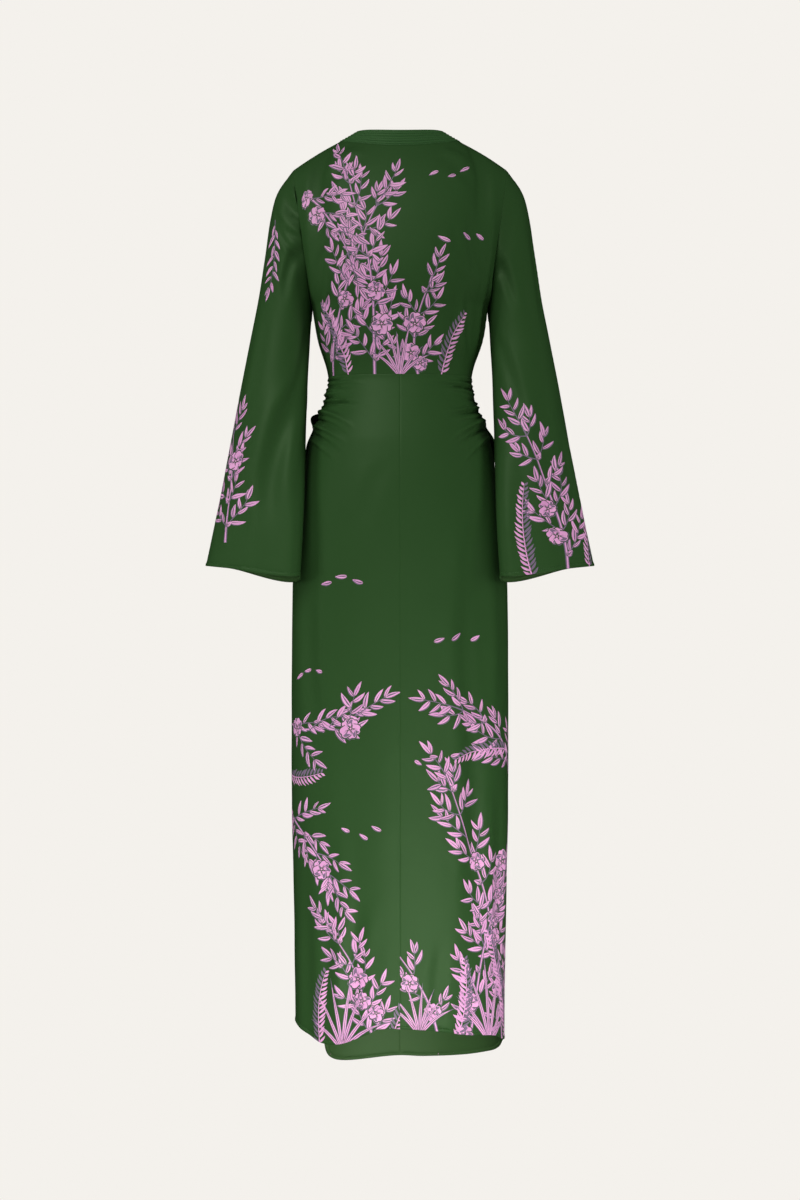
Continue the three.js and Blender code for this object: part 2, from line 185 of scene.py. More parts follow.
BODY = table("""
    z half back front
    -264 141 98 112
    -320 131 86 103
    -377 115 74 86
    -415 120 84 90
    -450 133 95 95
    -485 143 104 99
    -560 157 111 104
    -640 167 111 107
    -720 172 108 108
    -1050 173 104 108
    -1200 170 102 106
    -1480 166 100 104
""")
HEM = {
    1: table("""
    x z
    -166 -1434
    -150 -1422
    -103 -1416
    -54 -1408
    -15 -1405
    34 -1405
    49 -1413
    69 -1421
    94 -1430
    124 -1430
    150 -1418
    166 -1405
    """),
    -1: table("""
    x z
    -166 -1434
    -160 -1452
    -146 -1463
    -103 -1474
    -40 -1479
    4 -1478
    74 -1484
    100 -1483
    114 -1477
    121 -1467
    125 -1451
    150 -1434
    166 -1405
    """),
}
SLEEVE = table("""
    t out_x out_y out_z in_x in_y in_z depth
    0 171 0 -46 141 0 -264 50
    0.07 196 1 -83 141.5 2 -283 50
    0.134 207 2 -125 143 4 -303 50
    0.234 216 5 -189 145 8 -341 49
    0.333 226 8 -253 147 13 -382 48
    0.5 247 15 -361 149 28 -452 47
    0.67 267 24 -470 150 56 -530 44
    0.83 286 33 -573 152 77 -610 41
    1 308 40 -679 157 87 -694 39
""")

# The folds that the CAD model has too.
SKIRT_FOLDS = [  # angle from centre back, depth, half width in degrees, upper and lower end
    (-43, 5, 15, -520, -1330),
    (58, 4, 13, -1120, -1560),
    (22, 2.5, 18, -700, -1500),
    (128, 4.5, 15, -620, -1560),
    (-146, 4, 14, -560, -1500),
]
HIP_SWELL = {  # the front is fuller just beside the side seams, below the gathers
    "out": 6,
    "angle": 103,
    "half": 26,
    "z": -478,
    "half_z": 70,
}
SLEEVE_FOLDS = [  # facing, place across, depth, half width, start
    (1, 0.38, 6, 0.2, 0.42),
    (1, 0.72, 2.5, 0.16, 0.6),
    (-1, 0.5, 5, 0.22, 0.5),
]
CUFF_DIPS = {  # how much lower the cuff hangs, back and front: depth, place across, half width
    1: (4, 0.3, 0.4),
    -1: (13, 0.25, 0.45),
}
ARMHOLE_SHARE = 0.12  # of the sleeve's length, in which it leaves the armhole's shape


# ---------- the surfaces ----------
def body_point(angle, z):
    """A place on the smooth body, one quarter of a turn at a time from centre back (0) to the side."""
    z = np.broadcast_to(z, np.shape(angle)).astype(float)
    depth = np.where(np.cos(angle) >= 0, read(BODY, "z", z, "back"), read(BODY, "z", z, "front"))
    x = read(BODY, "z", z, "half") * power(np.sin(angle), 2 / ROUNDNESS)
    return vec(x, depth * power(np.cos(angle), 2 / ROUNDNESS), z)


def upper_edge(u, facing):
    """The neckline and the shoulder seam, from the middle (u is 0) to the shoulder point (1)."""
    share = np.abs(u)
    along = np.clip((share - SHOULDER_U) / (1 - SHOULDER_U), 0, 1)
    height = 4 * SHOULDER_ARCH * along * (1 - along) - SHOULDER_DROP * along
    shoulder = vec(np.sign(u) * lerp(NECK_HALF, SHOULDER_HALF, along), 0, height)
    turn = np.clip(u / SHOULDER_U, -1, 1) * HALF_PI
    back = np.cos(turn)
    neck = vec(NECK_HALF * np.sin(turn), NECK_DEPTH[facing] * back, -NECK_DROP[facing] * back**2)
    return np.where((share >= SHOULDER_U)[..., None], shoulder, neck)


def arrival(u, facing):
    """The bodice's direction as it comes up to its upper edge."""
    share = np.abs(u)
    near_neck = 1 - smooth((share - SHOULDER_U) / (1 - SHOULDER_U))
    lean = np.minimum(share / SHOULDER_U, 1) * near_neck * math.pi / 4
    at_neck = lerp(RISE["middle"], RISE["neck"], smooth(share / SHOULDER_U))
    rise = np.where(share < SHOULDER_U, at_neck, lerp(RISE["shoulder"], RISE["neck"], near_neck))
    return unit(vec(-np.sign(u) * np.sin(lean), -facing * np.cos(lean), rise))


def bodice_point(u, v, facing):
    """The bodice as if it closed high at the neck: v is 0 at the waist and 1 at the upper edge."""
    u, v = np.broadcast_arrays(np.asarray(u, float), np.asarray(v, float))
    angle = u * HALF_PI if facing > 0 else math.pi - u * HALF_PI
    low = body_point(angle, lerp(WAIST_Z, UNDERARM_Z, np.minimum(v / UNDERARM_V, 1)))
    at_edge = (np.abs(u) ** 3)[:, None]
    start, end = body_point(angle, UNDERARM_Z), upper_edge(u, facing)
    reach = 4 * ARMHOLE_DEPTH
    outward = unit(start - body_point(angle, UNDERARM_Z - 20))
    leaving = unit(lerp(outward, vec(0, facing, 0), at_edge))
    length = lerp(np.linalg.norm(end - start, axis=1, keepdims=True), reach, at_edge)
    arriving = arrival(u, facing) * lerp(length * 0.9, reach, at_edge)
    t = np.clip((v - UNDERARM_V) / (1 - UNDERARM_V), 0, 1)
    return np.where((v <= UNDERARM_V)[:, None], low, hermite(start, leaving * length, end, arriving, t))


def find_front_ends():
    u = np.linspace(0, SHOULDER_U, 400)

    def below_v(v):
        p = bodice_point(u, v, -1)
        return p[:, 2] < V_Z * (1 - np.abs(p[:, 0]) / NECK_HALF)

    ends = bisect(below_v, len(u))
    ends[-1] = 1
    return u, ends


FRONT_ENDS = find_front_ends()


def front_end(u):
    return np.interp(np.abs(u), *FRONT_ENDS)


def sleeve_fold(place, facing, t):
    total = np.zeros_like(t)
    for side, at, depth, half, start in SLEEVE_FOLDS:
        total -= (facing == side) * depth * bump((place - at) / half) * smooth((t - start) / 0.4)
    return total


def sleeve_point(side, t, round_it):
    """round_it is 0 at the underarm seam, 0.5 at the outer fold past the back, and 1 past the front."""
    facing = np.where(round_it <= 0.5, 1, -1)
    place = np.where(round_it <= 0.5, 2 * round_it, 2 - 2 * round_it)
    row = {name: read(SLEEVE, "t", t, name) for name in SLEEVE if name != "t"}
    inner = vec(row["in_x"], row["in_y"], row["in_z"])
    outer = vec(row["out_x"], row["out_y"], row["out_z"])
    across = smooth(place)[:, None]
    bow = 4 * place * (1 - place)
    p = lerp(inner, outer, across)
    p[:, 1] += facing * (row["depth"] * bow + sleeve_fold(place, facing, t))
    first = {name: SLEEVE[name][0] for name in SLEEVE}
    start = lerp(vec(first["in_x"], 0, first["in_z"]), vec(first["out_x"], 0, first["out_z"]), across)
    start[:, 1] += facing * first["depth"] * bow
    v = lerp(UNDERARM_V, 1, place)
    armhole = np.where(
        (facing > 0)[:, None], bodice_point(np.ones_like(v), v, 1), bodice_point(np.ones_like(v), v, -1)
    )
    p += (armhole - start) * (1 - smooth(t / ARMHOLE_SHARE))[:, None]
    back_dip, front_dip = (deep * bump((place - at) / half) for deep, at, half in CUFF_DIPS.values())
    lower = np.where(facing > 0, back_dip, front_dip)
    p[:, 2] -= lower * smooth((t - 0.5) / 0.5)
    p[:, 0] *= side
    return p


def skirt_point(angle, z):
    """The angle is 0 at centre back and negative on the wearer's right."""
    p = body_point(np.abs(angle), z)
    outward = vec(np.sin(np.abs(angle)), np.cos(np.abs(angle)), 0)
    degrees = np.degrees(angle)
    swell = HIP_SWELL
    out = swell["out"] * bump((np.abs(degrees) - swell["angle"]) / swell["half"])
    out = out * bump((z - swell["z"]) / swell["half_z"])
    for at, depth, half, top, bottom in SKIRT_FOLDS:
        length = top - bottom
        along = smooth((top - z) / (0.45 * length)) * smooth((z - bottom) / (0.25 * length))
        out -= depth * along * bump((degrees - at) / half)
    p += outward * out[:, None]
    p[:, 0] *= np.where(angle < 0, -1, 1)
    return p


def neck_seam(side, s):
    u = side * SHOULDER_U * np.where(s <= 1, s, 2 - s)
    return np.where((s <= 1)[:, None], bodice_point(u, front_end(u), -1), upper_edge(u, 1))


BAND_TURN = {"from": 0.8, "over": 0.4, "dip": 0.2, "dip_half": 0.22}  # about the shoulder, where s is 1


def band_edge(side, s):
    """The neckband's free edge. Its lean turns gradually from the front's to the back's over the shoulder."""
    step = 0.02
    along = unit(neck_seam(side, np.minimum(s + step, 2)) - neck_seam(side, np.maximum(s - step, 0)))
    inward = []
    for facing, at in ((-1, np.minimum(s, 1)), (1, np.maximum(s, 1))):
        u = side * SHOULDER_U * np.where(at <= 1, at, 2 - at)
        top = front_end(u) if facing < 0 else np.ones_like(u)
        uphill = bodice_point(u, top, facing) - bodice_point(u, top - 0.01, facing)
        inward.append(unit(uphill - along * np.sum(uphill * along, axis=1, keepdims=True)))
    turned = unit(lerp(inward[0], inward[1], smooth((s - BAND_TURN["from"]) / BAND_TURN["over"])[:, None]))
    turned[:, 2] -= BAND_TURN["dip"] * bump((s - 1) / BAND_TURN["dip_half"])
    return neck_seam(side, s) + unit(turned) * BAND_WIDTH


def mitre_start(side):
    return bisect(lambda s: band_edge(side, s)[:, 0] * side < 0, 1)[0]


MITRE = mitre_start(1)
CENTRE_FRONT = bodice_point(np.zeros(300), np.linspace(0, 1, 300), -1)


def band_point(side, s, across):
    """The neckband: s runs from the foot of the V over the shoulder (1) to centre back (2)."""
    edge = band_edge(side, np.where(s <= 1, lerp(MITRE, 1, s), s))
    edge[:, 0] = np.where((s < 1e-6) | (s > 2 - 1e-6), 0, edge[:, 0])
    p = lerp(neck_seam(side, s), edge, across[:, None])
    middle = np.interp(p[:, 2], CENTRE_FRONT[:, 2], CENTRE_FRONT[:, 1])
    p[:, 1] = lerp(p[:, 1], middle, np.clip(1 - s * 9, 0, 1))
    return p


# ---------- a panel of cloth ----------
SKIRT_SPAN = 1120  # the height that a skirt panel's surface covers
EDGE_STEP = 4.0
SEAM_DRAW = -0.03  # how far an edge draws back from its seam; a little over it, so that no light shows through
EDGE_CLEAR = 3.2  # the lattice of points stays this far from the edges, which have bands of their own
EDGE_BANDS = {"seam": (0.7, 1.6, 3.2), "hem": (1.5, 3.6, 4.8, 5.6, 7.0)}


class Cloth:
    """A panel: its surface over two shares, v and u, and its flat cut, in millimetres."""

    def __init__(self, surface, rows, columns, base_column=0, downward=False, tube_axis=None):
        self.surface = surface
        v, u = np.meshgrid(np.linspace(0, 1, rows), np.linspace(0, 1, columns), indexing="ij")
        p = surface(v.ravel(), u.ravel()).reshape(rows, columns, 3)
        step = np.linalg.norm(np.diff(p, axis=1), axis=2)
        if tube_axis is None:
            up = np.zeros((rows, columns))
            up[1:] = np.cumsum(np.linalg.norm(np.diff(p, axis=0), axis=2), axis=0)
            level = np.sqrt(np.maximum(step**2 - np.diff(up, axis=1) ** 2, (0.3 * step) ** 2))
            along = np.zeros((rows, columns))
            along[:, 1:] = np.cumsum(level, axis=1)
            along -= along[:, base_column][:, None]
        else:
            up = p @ unit(np.array(tube_axis, float))
            up -= up[-1, columns // 2]
            level = np.sqrt(np.maximum(step**2 - np.diff(up, axis=1) ** 2, 0))
            along = (u - 0.5) * level.sum(axis=1)[:, None]
        self.cut = np.stack([along, -up if downward else up], axis=2)
        self.tree = tree_of([(x, y, 0) for x, y in self.cut.reshape(-1, 2)])
        self.sign = 1.0
        half, off = np.array([0.5]), np.array([0.4])
        middle = surface(half, off)
        if tube_axis is None:
            within = vec(0, 0, np.minimum(middle[:, 2], -60))
        else:
            within = (surface(half, np.array([0.0])) + surface(half, half)) / 2
        if np.sum(self.normal(half, off) * (middle - within)) < 0:
            self.sign = -1.0

    def normal(self, v, u, step=2e-3):
        va, vb = np.maximum(v - step, 0), np.minimum(v + step, 1)
        ua, ub = np.maximum(u - step, 0), np.minimum(u + step, 1)
        up = self.surface(vb, u) - self.surface(va, u)
        right = self.surface(v, ub) - self.surface(v, ua)
        return unit(np.cross(up, right)) * self.sign

    def flat_and_slopes(self, v, u):
        """The place in the flat cut, and how it moves with v and with u."""
        rows, columns = self.cut.shape[:2]
        y, x = np.clip(v, 0, 1) * (rows - 1), np.clip(u, 0, 1) * (columns - 1)
        i, j = np.minimum(y.astype(int), rows - 2), np.minimum(x.astype(int), columns - 2)
        a, b = (y - i)[:, None], (x - j)[:, None]
        here, right = self.cut[i, j], self.cut[i, j + 1]
        above, across = self.cut[i + 1, j], self.cut[i + 1, j + 1]
        with_v = lerp(above - here, across - right, b) * (rows - 1)
        with_u = lerp(right - here, across - above, a) * (columns - 1)
        return lerp(lerp(here, right, b), lerp(above, across, b), a), with_v, with_u

    def flat(self, v, u):
        return self.flat_and_slopes(v, u)[0]

    def shares(self, points):
        """The way back from the flat cut to v and u, by Newton's method from the nearest known place."""
        rows, columns = self.cut.shape[:2]
        nearest = np.array([self.tree.find((x, y, 0))[1] for x, y in points])
        v, u = (nearest // columns) / (rows - 1), (nearest % columns) / (columns - 1)
        for _ in range(8):
            place, dv, du = self.flat_and_slopes(v, u)
            miss = points - place
            det = dv[:, 0] * du[:, 1] - dv[:, 1] * du[:, 0]
            det = np.where(np.abs(det) < 1e-6, 1e-6, det)
            v = np.clip(v + (miss[:, 0] * du[:, 1] - miss[:, 1] * du[:, 0]) / det, 0, 1)
            u = np.clip(u + (dv[:, 0] * miss[:, 1] - dv[:, 1] * miss[:, 0]) / det, 0, 1)
        return v, u


def resample(points, step):
    """Points along a line at an even step, both ends kept."""
    lengths = np.concatenate([[0], np.cumsum(np.linalg.norm(np.diff(points, axis=0), axis=1))])
    count = max(2, int(round(lengths[-1] / step)) + 1)
    at = np.linspace(0, lengths[-1], count)
    return np.stack([np.interp(at, lengths, points[:, k]) for k in range(2)], axis=1)


REACH = 12.0  # distances beyond this aren't needed


def line_distance(points, line):
    """Each point's distance to a line of short straight stretches, as far as it matters."""
    best = np.full(len(points), REACH**2)
    for first in range(0, len(line) - 1, 12):
        part = line[first : first + 13]
        near = np.all((points > part.min(0) - REACH) & (points < part.max(0) + REACH), axis=1).nonzero()[0]
        if not len(near):
            continue
        close = points[near]
        least = best[near]
        for a, b in zip(part[:-1], part[1:]):
            d = b - a
            t = np.clip(((close - a) @ d) / max(d @ d, 1e-12), 0, 1)
            least = np.minimum(least, np.sum((close - a - t[:, None] * d) ** 2, axis=1))
        best[near] = least
    return np.sqrt(best)


def inside(points, outline):
    hit = np.zeros(len(points), bool)
    for (x0, y0), (x1, y1) in zip(outline, np.roll(outline, -1, axis=0)):
        if y0 == y1:
            continue
        crosses = (points[:, 1] > y0) != (points[:, 1] > y1)
        hit ^= crosses & (points[:, 0] < (x1 - x0) * (points[:, 1] - y0) / (y1 - y0) + x0)
    return hit


def lattice(low, high, step):
    rise = step * math.sqrt(3) / 2
    rows = []
    for k, y in enumerate(np.arange(low[1], high[1], rise)):
        x = np.arange(low[0] + (k % 2) * step / 2, high[0], step)
        rows.append(np.stack([x, np.full_like(x, y)], axis=1))
    return np.concatenate(rows)


def joined(lines):
    """One closed outline from lines that each begin where the last one ends."""
    return np.concatenate([line[:-1] for line in lines])


def inward_of(line, outline):
    """Unit directions into the panel, square to a line of its outline."""
    square = square_to(line)
    middle = len(line) // 2
    probe = (line[middle] + square[middle])[None, :]
    return square if inside(probe, outline)[0] else -square


def layout(cloth, edges, spacing, fine_zones=()):
    """The panel's outline, its tagged edges in the flat, and the points between them.

    A fine zone is x and y from and to, and the spacing in it."""
    kinds = [kind for kind, _, _ in edges]
    lines = [resample(cloth.flat(v, u), EDGE_STEP) for _, v, u in edges]
    outline = joined(lines)
    draws = [SEAM_DRAW if kind == "seam" else 0 for kind in kinds]
    drawn = [line + inward_of(line, outline) * draw for line, draw in zip(lines, draws)]
    corners = [drawn[k][0] + drawn[k - 1][-1] - lines[k][0] for k in range(len(lines))]
    for k, corner in enumerate(corners):
        drawn[k][0] = drawn[k - 1][-1] = corner
    outline = joined(drawn)
    rim = np.concatenate([outline, outline[:1]])
    points = lattice(outline.min(0), outline.max(0), spacing)
    for x0, x1, y0, y1, step in fine_zones:
        clear = (points[:, 0] < x0) | (points[:, 0] > x1) | (points[:, 1] < y0) | (points[:, 1] > y1)
        points = np.concatenate([points[clear], lattice((x0, y0), (x1, y1), step)])
    points = points[inside(points, outline)]
    points = points[line_distance(points, rim) > EDGE_CLEAR]
    for kind, line in zip(kinds, drawn):
        direction = inward_of(line, outline)
        for reach in EDGE_BANDS[kind]:
            band = (line + direction * reach)[1:-1]
            band = band[inside(band, outline)]
            points = np.concatenate([points, band[line_distance(band, rim) > 0.75 * reach]])
    return outline, list(zip(kinds, drawn)), points


# ---------- the print: generic boughs of leaves and blossoms, drawn in the flat ----------
GROUND, PINK, LILAC = 0, 1, 2


class Print(list):
    """Shapes in the order they are printed, each a closed outline and its ink."""

    def add(self, points, ink, tone=0.5):
        self.append((np.asarray(points, float), ink, tone))


def spine(start, heading, length, curl, count):
    """Points along a line that turns evenly, and its headings there."""
    t = np.linspace(0, 1, count)
    headings = np.radians(heading + curl * t)
    steps = np.stack([np.cos(headings), np.sin(headings)], axis=1) * (length / (count - 1))
    points = np.array(start) + np.concatenate([np.zeros((1, 2)), np.cumsum(steps[:-1], axis=0)])
    return points, np.degrees(headings)


def ribbon(points, half):
    square = square_to(points) * np.asarray(half)[:, None]
    return np.concatenate([points + square, (points - square)[::-1]])


SHADOW = np.array([0.7, -0.9])  # how far a motif's lilac shadow is shifted
LEAF_POINTS = 7  # along a leaf
LEAF_RING = 0.55  # the width of the ring of ground
SHADED_LEAVES = 0.5  # the share of them with a shaded half


def leaf(ink, base, heading, length, width, curl, rng):
    """A slim leaf: a lilac shadow, a ring of ground, a pink blade, a shaded half and a slit for the midrib."""
    tone = rng.uniform(0, 1)
    t = np.linspace(0, 1, LEAF_POINTS)
    form = np.sin(math.pi * t**0.8) ** 0.85
    points, _ = spine(base, heading, length, curl, LEAF_POINTS)
    square = square_to(points)
    half = width / 2 * form
    ring = (half + LEAF_RING * form)[:, None] * square
    around = np.concatenate([points + ring, (points - ring)[::-1][1:-1]])
    ink.add(around + SHADOW, LILAC)
    ink.add(around, GROUND)
    core = slice(1, -1)
    upper, lower = (points + square * half[:, None])[core], (points - square * half[:, None])[core][::-1]
    ink.add(np.concatenate([points[:1], upper, points[-1:], lower]), PINK, tone)
    if rng.uniform() < SHADED_LEAVES:
        side = 1 if rng.uniform() < 0.5 else -1
        shaded = points + square * (side * 0.5 * half)[:, None]
        ink.add(np.concatenate([points[core], shaded[core][::-1]]), LILAC, 0.9)
    ink.add(ribbon(points[:-1:2], [0.42, 0.36, 0.12]), GROUND)


def blossom(ink, centre, radius, turn, rng):
    """Five parted petals, each notched, with dark streaks from a small eye of stamens."""
    centre = np.array(centre)
    t = np.linspace(-1, 1, 9)
    for k in range(5):
        heading = math.radians(turn + 72 * k + rng.uniform(-7, 7))
        size = radius * rng.uniform(0.86, 1.1)
        tone = rng.uniform(0, 1)
        along = np.array([math.cos(heading), math.sin(heading)])
        square = np.array([-along[1], along[0]])
        spread = 0.47 * size * np.sin(t * HALF_PI * 1.1)
        reach = size * (0.22 + 0.8 * np.cos(t * HALF_PI) ** 0.55) - 0.13 * size * np.exp(-((t / 0.2) ** 2))
        root = centre + 0.16 * size * along
        rim = centre + (reach * 1.05 + 0.6)[:, None] * along + (spread * 1.14)[:, None] * square
        around = np.concatenate([[centre + 0.1 * size * along], rim])
        ink.add(around + SHADOW, LILAC)
        ink.add(around, GROUND)
        petal = centre + reach[:, None] * along + spread[:, None] * square
        ink.add(np.concatenate([[root], petal]), PINK, tone)
        side = 1 if rng.uniform() < 0.5 else -1
        shaded = centre + (0.93 * reach)[:, None] * along + (0.9 * spread)[:, None] * square
        outer = shaded[5:] if side > 0 else shaded[:4][::-1]
        fold = centre + 0.5 * size * along + 0.2 * side * size * square
        ink.add(np.concatenate([[root], outer, [fold]]), LILAC, 0.7)
        for lean, far in ((-0.34, 0.6), (0.0, 0.78), (0.34, 0.56)):
            tip = centre + size * far * (along + lean * 0.6 * square)
            ink.add([root + 0.5 * square, tip, root - 0.5 * square], GROUND)
    ring = np.linspace(0, 2 * math.pi, 8)[:-1]
    eye = np.stack([np.cos(ring), np.sin(ring)], axis=1)
    ink.add(centre + eye * radius * 0.15, GROUND)
    ink.add(centre + eye * radius * 0.09, PINK, 1)


def bud(ink, base, heading, size, rng):
    """A closed bud in its cup."""
    leaf(ink, base, heading, size * 0.5, size * 0.24, rng.uniform(-20, 20), rng)
    leaf(ink, base, heading + 30, size * 0.3, size * 0.09, 10, rng)
    leaf(ink, base, heading - 30, size * 0.3, size * 0.09, -10, rng)


def sprig(ink, start, heading, length, curl, size, rng):
    """A thin stem with slim leaves crowded to both sides and one at its tip."""
    count = max(4, int(length / (size * 0.33)))
    points, headings = spine(start, heading, length, curl, count + 1)
    ink.add(ribbon(points, np.linspace(0.9, 0.4, len(points))), LILAC, 0.3)
    for k in range(1, count + 1):
        side = 1 if k % 2 else -1
        scale = size * (1.05 - 0.45 * abs(k / count - 0.4)) * rng.uniform(0.8, 1.12)
        turn = headings[k] + side * rng.uniform(30, 66)
        leaf(ink, points[k], turn, scale, scale * rng.uniform(0.2, 0.29), -side * rng.uniform(10, 42), rng)
    leaf(ink, points[-1], headings[-1] + rng.uniform(-8, 8), size, size * 0.24, rng.uniform(-15, 15), rng)


def fern(ink, start, heading, length, curl, size, rng):
    """An arching frond: pairs of slim leaflets that shorten to the tip."""
    count = max(5, int(length / 7.5))
    points, headings = spine(start, heading, length, curl, count + 1)
    ink.add(ribbon(points, np.linspace(1.1, 0.35, len(points))), PINK, 0.3)
    for k in range(1, count + 1):
        t = k / count
        scale = size * (0.35 + 0.65 * math.sin(math.pi * (0.18 + 0.8 * t)) ** 0.8)
        for side in (1, -1):
            heads = headings[k] + side * rng.uniform(50, 62)
            blade, _ = spine(points[k], heads, scale * rng.uniform(0.9, 1.08), -side * 28, 5)
            ink.add(ribbon(blade, [0.5, 1.6, 1.9, 1.3, 0.15]), PINK if side > 0 else LILAC, rng.uniform(0, 1))


def bough(ink, start, heading, length, curl, size, rng):
    """A woody stem that arches, crowded with sprigs to both sides, and with blossoms and buds along it."""
    count = max(4, int(length / 38))
    points, headings = spine(start, heading, length, curl, count * 3 + 1)
    wave = 3.2 * np.sin(np.linspace(0, count * 1.2, len(points)))
    points = points + np.stack([wave * 0.5, wave * 0.25], axis=1)
    half = np.linspace(2.4, 0.7, len(points))
    ink.add(ribbon(points, half + 0.4), LILAC, 0.4)
    ink.add(ribbon(points[:-1] + 0.3, half[:-1] * 0.5), PINK, 0.4)
    flowers = []
    for k in range(1, count + 1):
        at = min(3 * k - 1, len(points) - 1)
        for side in (1, -1):
            if rng.uniform() < 0.2:
                continue
            reach = size * rng.uniform(1.2, 2.4) * (1.2 - 0.45 * k / count)
            turn = headings[at] + side * rng.uniform(30, 62)
            sprig(ink, points[at], turn, reach, -side * rng.uniform(5, 50), size, rng)
        if rng.uniform() < 0.42:
            flowers.append(points[max(at - 1, 0)] + rng.uniform(-13, 13, 2))
        elif rng.uniform() < 0.5:
            bud(ink, points[at], headings[at] + rng.choice([-50, 50]), size, rng)
    sprig(ink, points[-1], headings[-1], size * 2, rng.uniform(-25, 25), size, rng)
    for place in flowers:
        blossom(ink, place, size * rng.uniform(0.5, 0.72), rng.uniform(0, 72), rng)


def tuft(ink, start, heading, length, curl, size, rng):
    """Long blades that fan from one root."""
    for k in range(7):
        lean = (k - 3) * 11 + rng.uniform(-4, 4)
        reach = length * (1 - 0.07 * abs(k - 3)) * rng.uniform(0.8, 1.05)
        blade, _ = spine(start, heading + lean, reach, curl + lean * 1.1, 9)
        edge = np.array([1.0, 2.2, 2.9, 3.1, 2.8, 2.3, 1.7, 1.0, 0.15]) * size / 24
        core = np.array([0.5, 1.5, 2.1, 2.3, 2.0, 1.6, 1.0, 0.3]) * size / 24
        ink.add(ribbon(blade, edge), LILAC)
        ink.add(ribbon(blade[:-1], core), PINK, rng.uniform(0, 1))
        ink.add(ribbon(blade[1:-2], [0.3, 0.4, 0.4, 0.4, 0.35, 0.2]), GROUND)


def drift(ink, start, heading, length, curl, size, rng):
    """A few loose petals on the wind."""
    for k in range(3):
        at = np.array(start) + np.array([k * length / 3 + rng.uniform(-6, 6), rng.uniform(-9, 9)])
        leaf(ink, at, heading + rng.uniform(-25, 25), size * rng.uniform(0.6, 0.95), size * 0.24, curl, rng)


MOTIFS = {"bough": bough, "sprig": sprig, "fern": fern, "tuft": tuft, "drift": drift}

# Where the print's motifs grow on each panel's flat cut: kind, x, y, heading, length, curl, size of a leaf.
# x is measured from the panel's middle line, or from a sleeve's outer fold, and y up from the waist or cuff.
PRINTS = {
    "bodice_back": """
    bough 118 -6 97 300 22 26
    bough 40 -6 92 330 -20 27
    bough -30 -6 78 150 38 24
    bough 168 300 215 150 40 24
    fern 84 -4 80 130 -26 18
    fern -66 -4 100 110 24 17
    tuft 0 -6 90 90 0 22
    drift -140 210 15 90 10 24
    drift -112 330 -12 70 -10 22
    """,
    "bodice_front_left": """
    bough 118 -6 95 260 14 25
    fern 70 -4 84 120 -20 17
    drift 60 150 100 40 10 22
    """,
    "bodice_front_right": """
    bough 60 -6 84 170 30 24
    sprig 130 210 80 90 -30 24
    fern 110 -4 96 100 20 17
    """,
    "sleeve_left": """
    bough -50 40 84 190 -12 25
    sprig -30 560 250 110 30 24
    drift 30 420 12 80 10 22
    bough 120 -6 96 230 22 25
    """,
    "sleeve_right": """
    bough -70 -6 84 240 26 26
    fern -118 -6 96 150 -22 18
    fern -30 -6 80 110 -24 17
    sprig 20 470 70 100 30 24
    bough 110 60 92 220 -20 25
    """,
    "skirt_back_left": """
    bough 205 -560 196 140 -52 27
    bough 214 -700 205 150 44 25
    fern 216 -640 190 90 -30 18
    bough 40 -1066 84 190 -30 26
    tuft 92 -1070 92 120 0 24
    fern 130 -1066 80 120 30 18
    fern 12 -1048 104 90 24 16
    drift 60 -330 8 80 10 24
    drift 120 -470 -14 70 8 22
    drift 30 -730 14 70 10 22
    """,
    "skirt_back_right": """
    bough 186 -1064 97 430 16 28
    bough 112 -1056 84 330 -22 27
    bough 214 -640 118 170 44 26
    bough 60 -1048 104 160 26 24
    tuft 150 -1066 90 150 0 26
    tuft 30 -1044 90 90 0 22
    fern 90 -1054 70 130 30 18
    fern 206 -1064 104 190 10 19
    fern 196 -600 170 110 34 18
    drift 50 -420 10 90 10 24
    drift 24 -610 -10 80 8 22
    """,
    "skirt_front_left": """
    bough 84 -1110 80 330 -16 28
    bough 170 -1100 96 300 -18 26
    bough 204 -420 190 130 -30 25
    tuft 120 -1110 90 140 0 25
    fern 40 -1110 100 150 20 18
    drift 60 -320 10 90 10 24
    drift 40 -560 -10 80 8 22
    """,
    "skirt_front_right": """
    bough 130 -1100 92 360 -20 27
    bough 60 -1110 80 180 34 25
    bough 196 -560 150 130 40 25
    tuft 90 -1110 90 120 0 24
    fern 170 -1090 84 150 20 18
    drift 70 -380 10 80 10 24
    """,
}


def draw_print(name):
    ink = Print()
    for k, (kind, x, y, *growth) in enumerate(rows_of(PRINTS[name])):
        rng = np.random.default_rng(100 * list(PRINTS).index(name) + k)
        MOTIFS[kind](ink, (x, y), *growth, rng)
    return ink


